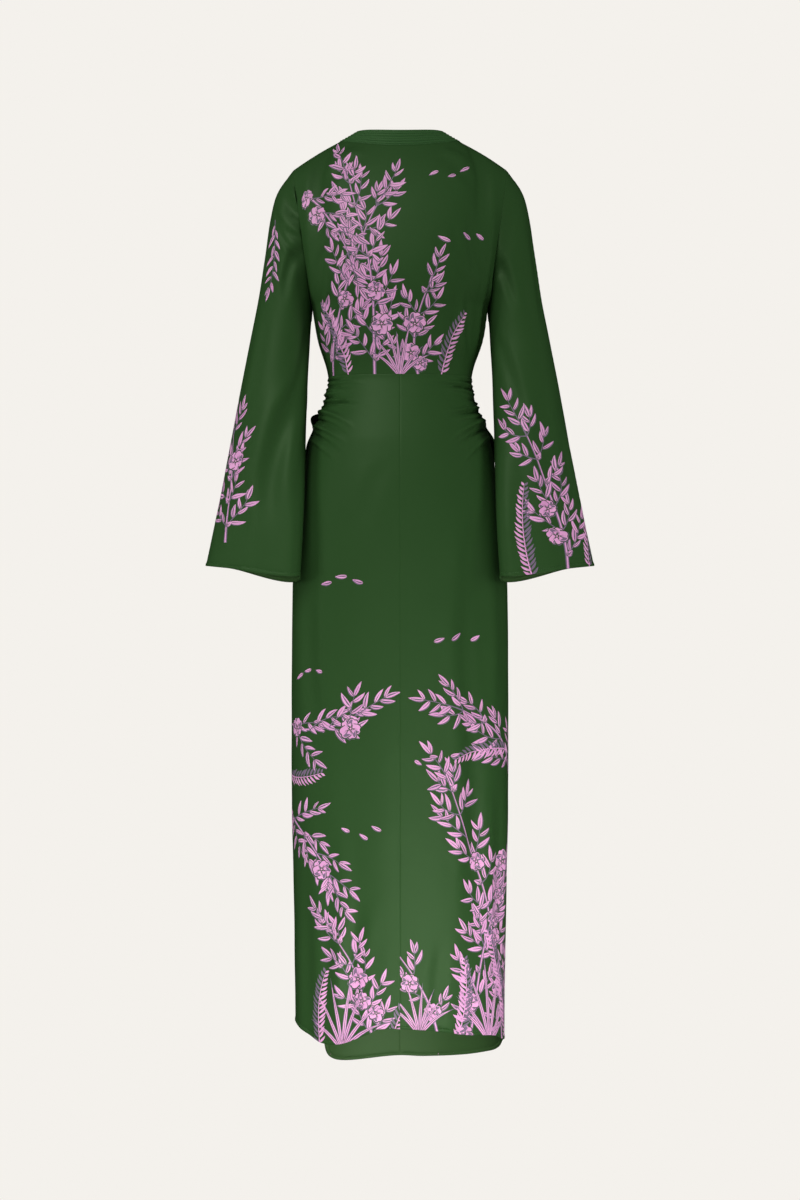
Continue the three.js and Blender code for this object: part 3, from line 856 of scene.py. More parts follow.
# ---------- folds and creases ----------
# The skirt's side gathers. Each fold runs from the side seam (x, z) to where it dies out (x, z), with its sag,
# its half width at the seam and where it dies out, and its height (a trough if negative).
GATHERS = {
    "skirt_back_left": """
    120 -382 48 -376 -2 2 3.4 1.5
    122 -386 60 -385 -2 1.8 3 -1.4
    122 -390 50 -391 -2 2.4 3.8 2
    123 -395 66 -398 -1.5 1.9 3 -1.6
    124 -400 70 -403 -1 2.6 3.4 2
    128 -407 84 -403 0 3.2 4.6 3.4
    128 -413 88 -411 0 2.4 3.4 -2.4
    126 -417 62 -419 -1.5 2.4 2.6 2.8
    127 -421 60 -423 -1.5 1.7 2 -2.8
    128 -425 62 -428 -1.5 2.4 2.8 2.7
    134 -432 70 -462 -5 6 9 5.4
    138 -444 80 -476 -4 3.6 6.5 -3.6
    141 -455 82 -488 -4 5.2 8 4.4
    144 -466 88 -508 -3 4.2 8.5 -3
    146 -476 94 -520 -3 5.4 9 2.2
    """,
    "skirt_back_right": """
    -118 -382 -70 -377 -1 2 3 1.5
    -120 -388 -76 -385 -1 1.8 2.8 -1.7
    -122 -393 -36 -389 -3 3 5 2.2
    -122 -400 -54 -395 -2.5 2.4 2.2 -3
    -124 -406 -56 -401 -2.5 3.2 4 2.6
    -128 -415 -84 -414 0 3 4.6 -2.2
    -131 -424 -62 -436 3 3.2 5.2 4.2
    -132 -430 -70 -441 3 2.6 3.2 -3
    -134 -437 -72 -449 3 3.4 4.8 2.2
    -137 -446 -76 -486 -5 6 9.5 5.2
    -140 -459 -86 -498 -4 4 7.5 -3.8
    -143 -472 -94 -524 -4 5 9.5 2.6
    """,
    "skirt_front_left": """
    120 -383 50 -378 -2 2.2 3.6 1.8
    122 -390 66 -392 -2 2.2 3.2 -1.8
    123 -397 46 -402 -2 2.8 4 2.4
    126 -406 74 -412 -2 2.6 3.4 -2.2
    128 -415 50 -426 -3 3.4 4.8 2.8
    130 -426 74 -440 -3 3 4.4 -2.4
    134 -445 78 -480 -5 15 11 8.4
    147 -492 92 -530 -4 34 20 2.6
    """,
    "skirt_front_right": """
    -119 -384 -60 -382 -2 2.2 3.4 1.7
    -121 -391 -50 -397 -2 2.2 3.4 -1.8
    -123 -399 -64 -406 -2 2.8 3.8 2.3
    -126 -409 -70 -418 -2 2.6 3.4 -2.2
    -128 -419 -52 -436 -3 3.4 4.8 2.8
    -132 -432 -76 -452 -3 3.2 5 -2.4
    -138 -448 -80 -484 -5 9 9 1.8
    -146 -484 -88 -526 -4 34 20 5.4
    """,
}

GATHER_DEPTH = 1.6
GATHERS_AT_SEAM = {1: 0.42, -1: 0.74}  # how much of their height is left at the seam, back and front

# Soft creases on the flat cut: x and y of both ends, sideways bow, half width, and height (negative: a trough).
CREASES = {
    "bodice_back": """
    112 6 90 160 8 9 2.8
    127 12 120 150 6 7 -2.4
    96 6 74 104 4 8 -2
    82 4 60 78 3 7 1.3
    136 96 120 214 9 9 2
    134 176 104 262 8 11 -2.2
    -114 8 -101 150 -6 8 2.6
    -147 20 -171 206 -4 9 -6.5
    -98 6 -80 110 -4 8 -2
    -78 4 -62 70 -3 7 1.2
    -134 150 -114 262 -9 11 -2
    -108 150 -70 236 -8 12 1.3
    104 150 60 220 8 12 1.2
    58 372 120 336 7 15 2.4
    66 344 128 300 7 13 -1.6
    -60 370 -118 338 -7 14 1.9
    -70 340 -126 296 -7 12 -1.4
    """,
    "bodice_front_left": """
    108 20 96 150 8 11 -2.6
    122 12 116 130 6 8 2
    60 6 74 110 -6 10 -2
    84 6 88 120 5 9 1.6
    30 6 46 120 5 9 -1.6
    140 150 110 240 8 11 -2.2
    134 110 96 190 8 11 1.5
    """,
    "bodice_front_right": """
    110 20 98 140 -8 11 -2.6
    124 14 118 120 -6 8 1.9
    64 6 72 120 6 10 -2
    86 6 92 104 -5 9 1.5
    26 6 44 100 -5 9 -1.6
    138 146 112 246 -8 11 -2.2
    132 104 94 184 -8 11 1.5
    """,
    "sleeve_left": """
    -130 322 -103 64 19 23 -5.6
    -62 200 -54 6 6 16 2.4
    -24 644 -84 592 4 5 2.2
    -22 632 -88 574 4 5 -2.2
    -24 619 -90 560 4 5.5 2.6
    -26 604 -90 545 5 5 -2.4
    -22 590 -92 528 5 6 2.4
    -34 560 -94 500 5 6 -1.8
    -96 560 -74 420 8 12 -2.4
    -128 420 -96 240 -10 13 -2.2
    -30 420 -28 240 -5 12 1.6
    60 560 96 400 9 12 -2.4
    40 610 82 550 -5 7 2
    104 310 82 60 -12 20 -4
    50 260 46 10 8 15 1.8
    """,
    "sleeve_right": """
    -22 552 -27 380 3 8 -2
    -92 556 -70 410 -8 11 -2.6
    -60 590 -92 500 5 8 1.8
    -124 400 -96 230 9 13 -2.4
    -56 300 -66 30 -9 18 -2.8
    -26 250 -22 8 6 14 1.8
    -92 230 -98 10 6 12 1.6
    24 604 70 540 5 7 1.8
    66 530 92 370 -8 12 -2.4
    98 320 84 60 -12 19 -3.6
    48 240 40 20 -8 14 1.6
    """,
    "skirt_back_left": """
    150 -250 132 -620 10 22 -2.6
    60 -820 74 -1060 8 18 -2.4
    118 -700 126 -1060 -8 20 -2.8
    96 -860 100 -1066 5 14 1.6
    24 -140 60 -260 6 20 -1.2
    """,
    "skirt_back_right": """
    132 -190 108 -520 -10 22 -2.6
    96 -340 122 -900 8 20 -3
    146 -260 156 -560 6 18 1.8
    70 -880 58 -1050 -6 16 -2
    160 -620 168 -1000 8 20 -2.4
    """,
    "skirt_front_left": """
    120 -240 104 -700 10 22 -3
    60 -420 74 -1080 -10 20 -3.2
    92 -560 100 -1080 6 16 1.8
    160 -520 150 -1040 8 22 -2.8
    """,
    "skirt_front_right": """
    126 -260 112 -640 -10 22 -3
    66 -380 56 -1080 10 20 -3
    92 -600 84 -1080 -6 16 1.8
    156 -600 164 -1060 -8 22 -2.8
    """,
}


def gather_relief(rows, x, z, at_seam):
    total = np.zeros_like(z)
    for x0, z0, x1, z1, sag, wide, narrow, height in rows:
        t = (x - x0) / (x1 - x0)
        inward = np.clip(t, 0, 1)
        middle = lerp(z0, z1, inward) - sag * 4 * inward * (1 - inward)
        along = (1 - smooth(t)) ** 0.8 * lerp(at_seam, 1, smooth(t / 0.3))
        total += GATHER_DEPTH * height * along * bump((z - middle) / lerp(wide, narrow, inward))
    return total


CREASE_BANK = 0.45  # the share of its height by which the cloth dips on both sides of a crease


def crease_relief(rows, flat):
    total = np.zeros(len(flat))
    for x0, y0, x1, y1, bow, half, height in rows:
        start, d = np.array([x0, y0]), np.array([x1 - x0, y1 - y0])
        length = np.linalg.norm(d)
        t = (flat - start) @ d / length**2
        square = np.array([-d[1], d[0]]) / length
        off = (flat - start) @ square - bow * 4 * np.clip(t, 0, 1) * (1 - np.clip(t, 0, 1))
        taper = smooth(t / 0.3) * smooth((1 - t) / 0.35)
        across = bump(off / half) - CREASE_BANK * bump((np.abs(off) - 1.25 * half) / half)
        total += height * taper * across
    return total


def ripple(points, size, seed, waves=5):
    """A slow unevenness, the same in every run."""
    rng = np.random.default_rng(seed)
    total = np.zeros(len(points))
    for _ in range(waves):
        way = rng.normal(size=3)
        way /= np.linalg.norm(way)
        total += np.sin(points @ way * (2 * math.pi / (size * rng.uniform(0.6, 1.6))) + rng.uniform(0, 6.3))
    return total / waves


SEAM_SINK, SEAM_HALF = 0.4, 1.4  # depth and half width of a seam's groove
HEM_WIDTH = 5.6  # of the doubled strip
HEM_RISE = 0.8
HEM_STITCH = 5.2  # the stitches' distance from the edge
STITCH_SINK, STITCH_HALF = 0.6, 1.3
FOLD_SINK, FOLD_HALF = 0.6, 1.5  # the rounding of the hem's folded edge


def edge_distance(flat, edges, wanted):
    return np.min([line_distance(flat, line) for kind, line in edges if kind == wanted], axis=0)


def edge_relief(flat, edges):
    """Seams sink into a groove, and hems are a doubled strip with a line of stitching."""
    out = -SEAM_SINK * groove(edge_distance(flat, edges, "seam"), SEAM_HALF)
    if any(kind == "hem" for kind, _ in edges):
        d = edge_distance(flat, edges, "hem")
        sunk = STITCH_SINK * bump((d - HEM_STITCH) / STITCH_HALF)
        out += HEM_RISE * smooth(HEM_WIDTH - d) - sunk - FOLD_SINK * groove(d, FOLD_HALF)
    return out


# ---------- from a panel to a mesh ----------
THICK = 0.9
RIPPLE_HEIGHT = 0.35
SEAM_STEP = 2.5  # spacing of the points at which neighbours compare directions
UV_MARGIN = 6.0
RIM_UV = 1.5  # the width that the cut edge has in the bake's layout


def left_turning(line):
    x, y = line[:, 0], line[:, 1]
    return line if np.sum(x * np.roll(y, -1) - np.roll(x, -1) * y) > 0 else line[::-1]


def triangulate(outline, points, shapes):
    """The panel's points and printed shapes as one net of triangles, with each triangle's ink."""
    outline = left_turning(outline)
    verts = [Vector(p) for p in outline] + [Vector(p) for p in points]
    faces = [list(range(len(outline)))]
    inks = [(GROUND, 0.5)]
    low, high = outline.min(0) - 1, outline.max(0) + 1
    for shape, ink, tone in shapes:
        if np.any(shape.max(0) < low) or np.any(shape.min(0) > high):
            continue
        faces.append(list(range(len(verts), len(verts) + len(shape))))
        verts += [Vector(p) for p in left_turning(shape)]
        inks.append((ink, tone))
    flat, _, triangles, _, _, sources = delaunay_2d_cdt(verts, [], faces, 1, 1e-3, True)
    keep = [k for k, source in enumerate(sources) if 0 in source]
    flat = np.array([(p.x, p.y) for p in flat])
    net = np.array([triangles[k] for k in keep])
    ink = np.array([inks[max(sources[k])] for k in keep])
    used, net = np.unique(net, return_inverse=True)
    return flat[used], net.reshape(-1, 3), ink


def plain_net(rim, points):
    """A plain net inside the same rim, for the cloth's inner face, and where the rim's points are in it."""
    verts = [Vector(p) for p in rim] + [Vector(p) for p in points]
    face = list(range(len(rim)))
    if left_turning(rim) is not rim:
        face.reverse()
    flat, _, triangles, sources, _, faces = delaunay_2d_cdt(verts, [], [face], 1, 1e-4, True)
    where = {index: k for k, source in enumerate(sources) for index in source}
    loop = np.array([where[k] for k in range(len(rim))])
    net = np.array([triangle for triangle, source in zip(triangles, faces) if source])
    used, compact = np.unique(np.concatenate([net.ravel(), loop]), return_inverse=True)
    compact = compact.ravel()
    flat = np.array([(flat[k].x, flat[k].y) for k in used])
    return flat, compact[: net.size].reshape(-1, 3), compact[net.size :]


def rim_loop(net):
    """The net's open edge as one loop of points, in its triangles' direction."""
    following = {int(a): int(b) for a, b in rim_edges(net)}
    start = here = next(iter(following))
    loop = []
    while True:
        loop.append(here)
        here = following[here]
        if here == start:
            return np.array(loop)


def rim_edges(net):
    """The net's open edges, each in its triangle's direction."""
    edges = np.concatenate([net[:, [0, 1]], net[:, [1, 2]], net[:, [2, 0]]])
    key = np.sort(edges, axis=1)
    _, index, uses = np.unique(key, axis=0, return_index=True, return_counts=True)
    return edges[index[uses == 1]]


Layer = namedtuple("Layer", "points flat net")  # one face of the cloth, in space and in the flat


def corners_of(*parts):
    return np.concatenate([part.reshape(-1, 2) for part in parts])


def shell(name, outer, inner, rims, silk_outside, colours=None):
    """A closed shell of cloth: printed outside, plain inside, and the cut edge between them."""
    count = len(outer.points)
    a, b = rims
    rim = np.stack([np.roll(a, -1), a, b + count, np.roll(b, -1) + count], axis=1)
    mesh = bpy.data.meshes.new(name)
    points = np.concatenate([outer.points, inner.points]) * MM
    mesh.from_pydata(points.tolist(), [], outer.net.tolist() + (inner.net + count).tolist() + rim.tolist())
    low, high = outer.flat.min(0), outer.flat.max(0)
    width, height = high - low
    scale = 1 / max(2 * width + 3 * UV_MARGIN, height + 2 * UV_MARGIN)
    first = (outer.flat - low + UV_MARGIN) * scale
    second = (inner.flat - low + UV_MARGIN) * scale + np.array([(width + UV_MARGIN) * scale, 0])
    c, d = rim[:, 0], rim[:, 1]
    along = unit(outer.flat[c] - outer.flat[d])
    outward = np.stack([along[:, 1], -along[:, 0]], axis=1) * RIM_UV * scale
    rim_uv = np.stack([first[c], first[d], first[d] + outward, first[c] + outward], axis=1)
    uv = corners_of(first[outer.net], second[inner.net], rim_uv)
    mesh.uv_layers.new(name="OFBake").data.foreach_set("uv", uv.ravel())
    cut = corners_of(outer.flat[outer.net], inner.flat[inner.net], outer.flat[rim[:, [0, 1, 1, 0]]])
    mesh.uv_layers.new(name="cut").data.foreach_set("uv", (cut * MM).ravel())
    if colours is not None:
        plain = np.zeros((len(inner.net) * 3 + len(rim) * 4, 4))
        plain[:, 2:] = (0.5, 1)
        paint = mesh.color_attributes.new("print", "FLOAT_COLOR", "CORNER")
        paint.data.foreach_set("color", np.concatenate([np.repeat(colours, 3, axis=0), plain]).ravel())
    slots = np.repeat(np.array([0, 1, 0], np.int32), [len(outer.net), len(inner.net), len(rim)])
    for material in (silk_outside, INSIDE):
        mesh.materials.append(material)
    mesh.polygons.foreach_set("material_index", slots)
    mesh.polygons.foreach_set("use_smooth", np.ones(len(mesh.polygons), bool))
    mesh.set_sharp_from_angle(angle=math.radians(60))
    mesh.update()
    return add_object(name, mesh)


def ink_colours(ink):
    """Red says pink ink, green says lilac, and blue is the tone."""
    return np.stack([ink[:, 0] == PINK, ink[:, 0] == LILAC, ink[:, 1], np.ones(len(ink))], axis=1).astype(float)


class Panel:
    """A panel of cloth, laid out in the flat and ready to be joined to its neighbours."""

    def __init__(self, name, cloth, edges, spacing, fine_zones=(), relief=lambda p: 0.0):
        self.name, self.cloth, self.relief = name, cloth, relief
        outline, self.lines, self.points = layout(cloth, edges, spacing, fine_zones)
        self.flat, net, self.ink = triangulate(outline, self.points, draw_print(name))
        self.net = looking(net, *self.bare(self.flat))

    def bare(self, flat):
        v, u = self.cloth.shares(flat)
        return self.cloth.surface(v, u), self.cloth.normal(v, u)

    def seam_points(self):
        seams = [resample(line, SEAM_STEP) for kind, line in self.lines if kind == "seam"]
        return self.bare(np.concatenate(seams))

    def placed(self, flat, lift=0):
        """Points of the finished surface, and the cloth's direction outwards, equal on both sides of a seam."""
        p, n = self.bare(flat)
        near = edge_distance(flat, self.lines, "seam") < SEAM_REACH + 1
        n[near] = share_normals(self.name, p[near], n[near])
        out = edge_relief(flat, self.lines) + crease_relief(rows_of(CREASES[self.name]), flat)
        out += RIPPLE_HEIGHT * ripple(p, 90, 7) + self.relief(p) + lift
        return p + n * out[:, None], n

    def build(self):
        loop = rim_loop(self.net)
        inner_flat, inner_net, inner_loop = plain_net(self.flat[loop], self.points)
        points, _ = self.placed(self.flat)
        under, n = self.placed(inner_flat)
        under -= n * THICK
        outer = Layer(points, self.flat, self.net)
        inner = Layer(under, inner_flat, looking(inner_net, under, -n))
        return shell(self.name + "_cloth", outer, inner, (loop, inner_loop), OUTSIDE, ink_colours(self.ink))


SEAM_REACH = 9.0
NEIGHBOUR_REACH = 3.0  # how much farther than the nearest seam a neighbour's may be
SEAMS = {"tree": None, "normals": [], "owners": []}


def note_seams(panels):
    """Gathers every seam's points, so that neighbours can agree on a direction there."""
    points, normals, owners = [], [], []
    for panel in panels:
        p, n = panel.seam_points()
        points.append(p)
        normals.append(n)
        owners += [panel.name] * len(p)
    SEAMS.update(tree=tree_of(np.concatenate(points)), normals=np.concatenate(normals), owners=owners)


def share_normals(name, p, n):
    """Near a seam a panel's direction outwards turns to the mean of its own and its neighbours'."""
    made = n.copy()
    for k in range(len(p)):
        _, _, away = SEAMS["tree"].find(p[k])
        if away > SEAM_REACH:
            continue
        others = {}
        for _, index, reach in SEAMS["tree"].find_range(p[k], away + NEIGHBOUR_REACH):
            owner = SEAMS["owners"][index]
            if owner != name and reach < others.get(owner, (math.inf, 0))[0]:
                others[owner] = (reach, index)
        total = n[k].copy()
        for _, index in others.values():
            total += SEAMS["normals"][index]
        made[k] = lerp(n[k], total / max(np.linalg.norm(total), 1e-6), 1 - smooth(away / SEAM_REACH))
    return unit(made)


# ---------- materials ----------
def linear(r, g, b):
    values = np.array([r, g, b]) / 255
    return (*np.where(values <= 0.04045, values / 12.92, ((values + 0.055) / 1.055) ** 2.4), 1)


GREEN = linear(41, 71, 35)
GREEN_INSIDE = linear(58, 88, 48)
PINK_INK = linear(206, 142, 192)
PINK_LIGHT = linear(236, 174, 218)
LILAC_INK = linear(120, 102, 126)


class Nodes:
    """Short-hand for a material's node tree."""

    def __init__(self, name):
        self.material = bpy.data.materials.new(name)
        self.material.use_nodes = True
        self.tree = self.material.node_tree
        self.shader = self.tree.nodes["Principled BSDF"]

    def add(self, kind, **settings):
        node = self.tree.nodes.new("ShaderNode" + kind)
        for key, value in settings.items():
            if hasattr(node, key):
                setattr(node, key, value)
            else:
                node.inputs[key.replace("_", " ")].default_value = value
        return node

    def link(self, out, into):
        self.tree.links.new(out, into)

    def mix(self, share, a, b):
        node = self.add("Mix", data_type="RGBA")
        self.feed(share, node.inputs[0])
        self.feed(a, node.inputs[6])
        self.feed(b, node.inputs[7])
        return node.outputs[2]

    def noise(self, where, scale, detail):
        node = self.add("TexNoise", Scale=scale, Detail=detail)
        self.link(where, node.inputs["Vector"])
        return node.outputs[0]

    def math(self, operation, a, b):
        node = self.add("Math", operation=operation)
        self.feed(a, node.inputs[0])
        self.feed(b, node.inputs[1])
        return node.outputs[0]

    def feed(self, value, socket):
        if isinstance(value, bpy.types.NodeSocket):
            self.link(value, socket)
        else:
            socket.default_value = value


def shade(colour, strength):
    return tuple(min(c * strength, 1) for c in colour[:3]) + (1,)


YARNS = 2600  # to a metre
UNEVEN = 90  # places to a metre where a yarn thickens or thins
PEBBLES = 1500.0  # of the crepe, to a metre
CLOUDS = 9.0  # slow changes of tone, to a metre
WORN = 420.0  # places to a metre where the pink ink is lighter
ROUGH = 0.46
SHEEN, SHEEN_TINT = 0.22, (0.6, 0.85, 0.5, 1)
RELIEF, RELIEF_DEPTH = 0.22, 0.00025


def silk(name, ground, printed):
    """Silk crepe: crossed yarns, a slow unevenness of tone, a soft sheen, and the print where there is one."""
    made = Nodes(name)
    cut = made.add("UVMap", uv_map="cut").outputs[0]
    yarns = []
    for scale in ((YARNS, UNEVEN, 1), (UNEVEN, YARNS, 1)):
        mapping = made.add("Mapping", Scale=scale)
        made.link(cut, mapping.inputs[0])
        yarns.append(made.noise(mapping.outputs[0], 1.0, 2.0))
    thread = made.math("MULTIPLY", made.math("ADD", yarns[0], yarns[1]), 0.5)
    tone = made.math("MULTIPLY_ADD", thread, 0.75)
    tone.node.inputs[2].default_value = 0.12
    slow = made.math("MULTIPLY", made.noise(cut, CLOUDS, 3.0), 0.25)
    colour = made.mix(made.math("ADD", tone, slow), shade(ground, 0.86), shade(ground, 1.16))
    if printed:
        paint = made.add("VertexColor", layer_name="print")
        split = made.add("SeparateColor")
        made.link(paint.outputs[0], split.inputs[0])
        worn = made.math("ADD", split.outputs[2], made.noise(cut, WORN, 2.0))
        pink = made.mix(made.math("MULTIPLY", worn, 0.5), PINK_INK, PINK_LIGHT)
        colour = made.mix(split.outputs[0], colour, pink)
        colour = made.mix(split.outputs[1], colour, LILAC_INK)
    made.link(colour, made.shader.inputs["Base Color"])
    made.shader.inputs["Roughness"].default_value = ROUGH
    made.shader.inputs["Specular IOR Level"].default_value = SHEEN
    made.shader.inputs["Specular Tint"].default_value = SHEEN_TINT
    height = made.math("ADD", thread, made.noise(cut, PEBBLES, 1.0))
    rough = made.add("Bump", Strength=RELIEF, Distance=RELIEF_DEPTH)
    made.link(height, rough.inputs["Height"])
    made.link(rough.outputs[0], made.shader.inputs["Normal"])
    return made.material


def thread_material():
    made = Nodes("silk_thread")
    twist = made.add("TexWave", Scale=900.0, Distortion=0.4)
    where = made.add("TexCoord")
    made.link(where.outputs["Object"], twist.inputs["Vector"])
    colour = made.mix(twist.outputs[1], shade(GREEN, 1.5), shade(GREEN, 2.6))
    made.link(colour, made.shader.inputs["Base Color"])
    made.shader.inputs["Roughness"].default_value = 0.42
    return made.material


OUTSIDE = silk("silk_printed", GREEN, True)
# The neckband is the same cloth as the dress, but its green is lighter: a painted highlight for the light that
# the quilted band catches.
BAND_SILK_PAINTED_HIGHLIGHT = silk("silk_band_painted_highlight", linear(49, 83, 45), False)
INSIDE = silk("silk_inside", GREEN_INSIDE, False)
THREAD = thread_material()


# ---------- the panels ----------
BODICE_SPACING = 6.0  # of a panel's points, away from its fine zones
SLEEVE_SPACING = 6.2
SKIRT_SPACING = 7.5


def share(start, end, count=60):
    return np.linspace(start, end, count)


def four_edges(count, foot):
    """The edges of a whole surface, the third of them a seam or a hem."""
    there, back, zero, one = share(0, 1, count), share(1, 0, count), np.zeros(count), np.ones(count)
    return [("seam", zero, there), ("seam", there, one), (foot, one, back), ("seam", back, zero)]


def bodice_back():
    cloth = Cloth(lambda v, u: bodice_point(2 * u - 1, v, 1), 121, 161, base_column=80)
    return Panel("bodice_back", cloth, four_edges(60, "seam"), BODICE_SPACING)


def bodice_front(name, side):
    cloth = Cloth(lambda v, u: bodice_point(side * u, v, -1), 121, 121)
    one, zero = np.ones(60), np.zeros(60)
    neck = share(SHOULDER_U, 0, 80)
    edges = [
        ("seam", zero, share(0, 1)),
        ("seam", share(0, 1), one),
        ("seam", one, share(1, SHOULDER_U)),
        ("seam", front_end(neck), neck),
        ("seam", share(float(front_end(0.0)), 0), zero),
    ]
    return Panel(name, cloth, edges, BODICE_SPACING)


def sleeve(name, side):
    cloth = Cloth(lambda v, u: sleeve_point(side, v, u), 141, 161, tube_axis=(-0.2 * side, -0.06, 1))
    fine = [(-112, -8, 470, 660, 3.6)] if side > 0 else []  # for the creases below the left shoulder
    return Panel(name, cloth, four_edges(120, "hem"), SLEEVE_SPACING, fine)


def skirt(name, side, facing):
    def round_it(u):
        return side * (u if facing > 0 else 2 - u) * HALF_PI

    cloth = Cloth(lambda v, u: skirt_point(round_it(u), WAIST_Z - SKIRT_SPAN * v), 201, 81, downward=True)
    across = share(0, 1, 100)
    foot = body_point(round_it(across), BODY["z"][-1])
    hem = (WAIST_Z - read(HEM[facing], "x", foot[:, 0], "z")) / SKIRT_SPAN
    one, zero = np.ones(80), np.zeros(80)
    edges = [
        ("seam", zero, share(0, 1, 80)),
        ("seam", share(0, hem[-1], 80), one),
        ("hem", hem[::-1], across[::-1]),
        ("seam", share(hem[0], 0, 80), zero),
    ]

    def gathers(p):
        below = smooth((WAIST_Z - p[:, 2]) / 5)
        return gather_relief(rows_of(GATHERS[name]), p[:, 0], p[:, 2], GATHERS_AT_SEAM[facing]) * below

    side_x = cloth.flat(np.array([0.02]), np.array([1.0]))[0, 0]
    fine = [(side_x - 128, side_x + 60, -150, 0, 2.2)]
    return Panel(name, cloth, edges, SKIRT_SPACING, fine, gathers)


# ---------- the neckband ----------
BAND_ROWS = 6  # rows of topstitching across the band
EDGE_ROW = 0.035  # the place across it of one more row, beside the neck seam
BAND_THICK = 1.3
BAND_PUFF = 2.1  # how far the cloth swells between two rows
BAND_SINK = 1.4
BAND_END = 2e-3  # directions outwards are taken this share away from the band's ends
BAND_SEAM = {"sink": 0.9, "half": 1.6}
BAND_EDGE = {"sink": 0.8, "half": 1.8}
BAND_RIPPLE = 0.1


def band_relief(across):
    lane = np.mod(across * BAND_ROWS + 0.5, 1)
    puff = BAND_PUFF * (1 - (2 * lane - 1) ** 2) - BAND_SINK
    seam = BAND_SEAM["sink"] * groove(across * BAND_WIDTH, BAND_SEAM["half"])
    edge = BAND_EDGE["sink"] * groove((1 - across) * BAND_WIDTH, BAND_EDGE["half"])
    return puff - seam - edge


class Band:
    """A neckband, quilted by its rows of topstitching."""

    def __init__(self, name, side):
        self.name = name
        self.cloth = Cloth(lambda v, u: band_point(side, 2 * v, u), 121, 21)

    def seam_points(self):
        s = np.linspace(BAND_END, 1 - BAND_END, 400)
        u = np.linspace(0, 1, 14)
        v = np.concatenate([s, np.full_like(u, BAND_END), np.full_like(u, 1 - BAND_END)])
        u = np.concatenate([np.zeros_like(s), u, u])
        return self.cloth.surface(v, u), self.cloth.normal(v, u)

    def placed(self, v, u, lift=0):
        p, n = self.cloth.surface(v, u), self.cloth.normal(np.clip(v, BAND_END, 1 - BAND_END), u)
        n = share_normals(self.name, p, n)
        return p + n * (band_relief(u) + BAND_RIPPLE * ripple(p, 40, 3) + lift)[:, None], n

    def build(self):
        along, across = np.linspace(1e-4, 1 - 1e-4, 191), np.linspace(0.001, 1, 45)
        v, u = (grid.ravel() for grid in np.meshgrid(along, across, indexing="ij"))
        points, n = self.placed(v, u)
        index = np.arange(len(v)).reshape(len(along), len(across))
        a, b, c, d = (part.ravel() for part in (index[:-1, :-1], index[1:, :-1], index[1:, 1:], index[:-1, 1:]))
        net = np.concatenate([np.stack([a, b, c], axis=1), np.stack([a, c, d], axis=1)])
        net = looking(net, points, n)
        flat = self.cloth.flat(v, u)
        loop = rim_loop(net)
        outer, inner = Layer(points, flat, net), Layer(points - n * BAND_THICK, flat, net[:, ::-1])
        return shell(self.name + "_cloth", outer, inner, (loop, loop), BAND_SILK_PAINTED_HIGHLIGHT)


# ---------- stitches ----------
STITCH_SIDES = 5
STITCH_BOW = np.array([-0.12, 0.16, 0.16, -0.12])  # how high a thread stands at four places along it
STITCH_TAPER = np.array([0.55, 1, 1, 0.55])


def stitch_mesh(name, paths, pitch, length, radius):
    """Short bowed threads along lines of points, each line with its directions outwards."""
    verts, faces = [], []
    rings = len(STITCH_BOW)
    ring = np.linspace(0, 2 * math.pi, STITCH_SIDES + 1)[:-1]
    for points, normals in paths:
        lengths = np.concatenate([[0], np.cumsum(np.linalg.norm(np.diff(points, axis=0), axis=1))])
        for start in np.arange(pitch / 2, lengths[-1] - length, pitch):
            at = start + np.linspace(0, length, rings)
            core = np.stack([np.interp(at, lengths, points[:, k]) for k in range(3)], axis=1)
            up = unit(np.stack([np.interp(at, lengths, normals[:, k]) for k in range(3)], axis=1))
            core += up * STITCH_BOW[:, None]
            side = unit(np.cross(up, np.gradient(core, axis=0)))
            thick = STITCH_TAPER * radius
            base = len(verts)
            for k in range(rings):
                round_it = np.cos(ring)[:, None] * side[k] + np.sin(ring)[:, None] * up[k]
                verts += list(core[k] + thick[k] * round_it)
            for k in range(rings - 1):
                for m in range(STITCH_SIDES):
                    n = (m + 1) % STITCH_SIDES
                    row, above = base + k * STITCH_SIDES, base + (k + 1) * STITCH_SIDES
                    faces.append((row + m, row + n, above + n, above + m))
            faces.append(tuple(base + m for m in reversed(range(STITCH_SIDES))))
            faces.append(tuple(base + (rings - 1) * STITCH_SIDES + m for m in range(STITCH_SIDES)))
    mesh = bpy.data.meshes.new(name)
    mesh.from_pydata((np.array(verts) * MM).tolist(), [], faces)
    mesh.materials.append(THREAD)
    mesh.polygons.foreach_set("use_smooth", np.ones(len(faces), bool))
    mesh.update()
    return add_object(name, mesh)


def band_stitches(band):
    s = np.linspace(0.012, 0.988, 260)
    rows = [EDGE_ROW] + [(row + 0.5) / BAND_ROWS for row in range(BAND_ROWS)]
    paths = [band.placed(s, np.full_like(s, across), 0.2) for across in rows]
    return stitch_mesh(band.name + "_stitches", paths, pitch=3.2, length=2.2, radius=0.32)


def hem_stitches(panel):
    outline = joined([line for _, line in panel.lines])
    hems = [resample(line, 3.0) for kind, line in panel.lines if kind == "hem"]
    paths = [panel.placed(line + inward_of(line, outline) * HEM_STITCH, 0.12) for line in hems]
    return stitch_mesh(panel.name + "_stitches", paths, pitch=2.8, length=2.0, radius=0.17) if paths else None


# ---------- the dress ----------
SIDES = {"left": 1, "right": -1}


def declare(made, node):
    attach(made, "root")
    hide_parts(node)


def dress_stitches(made):
    if made:
        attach(made, "root")


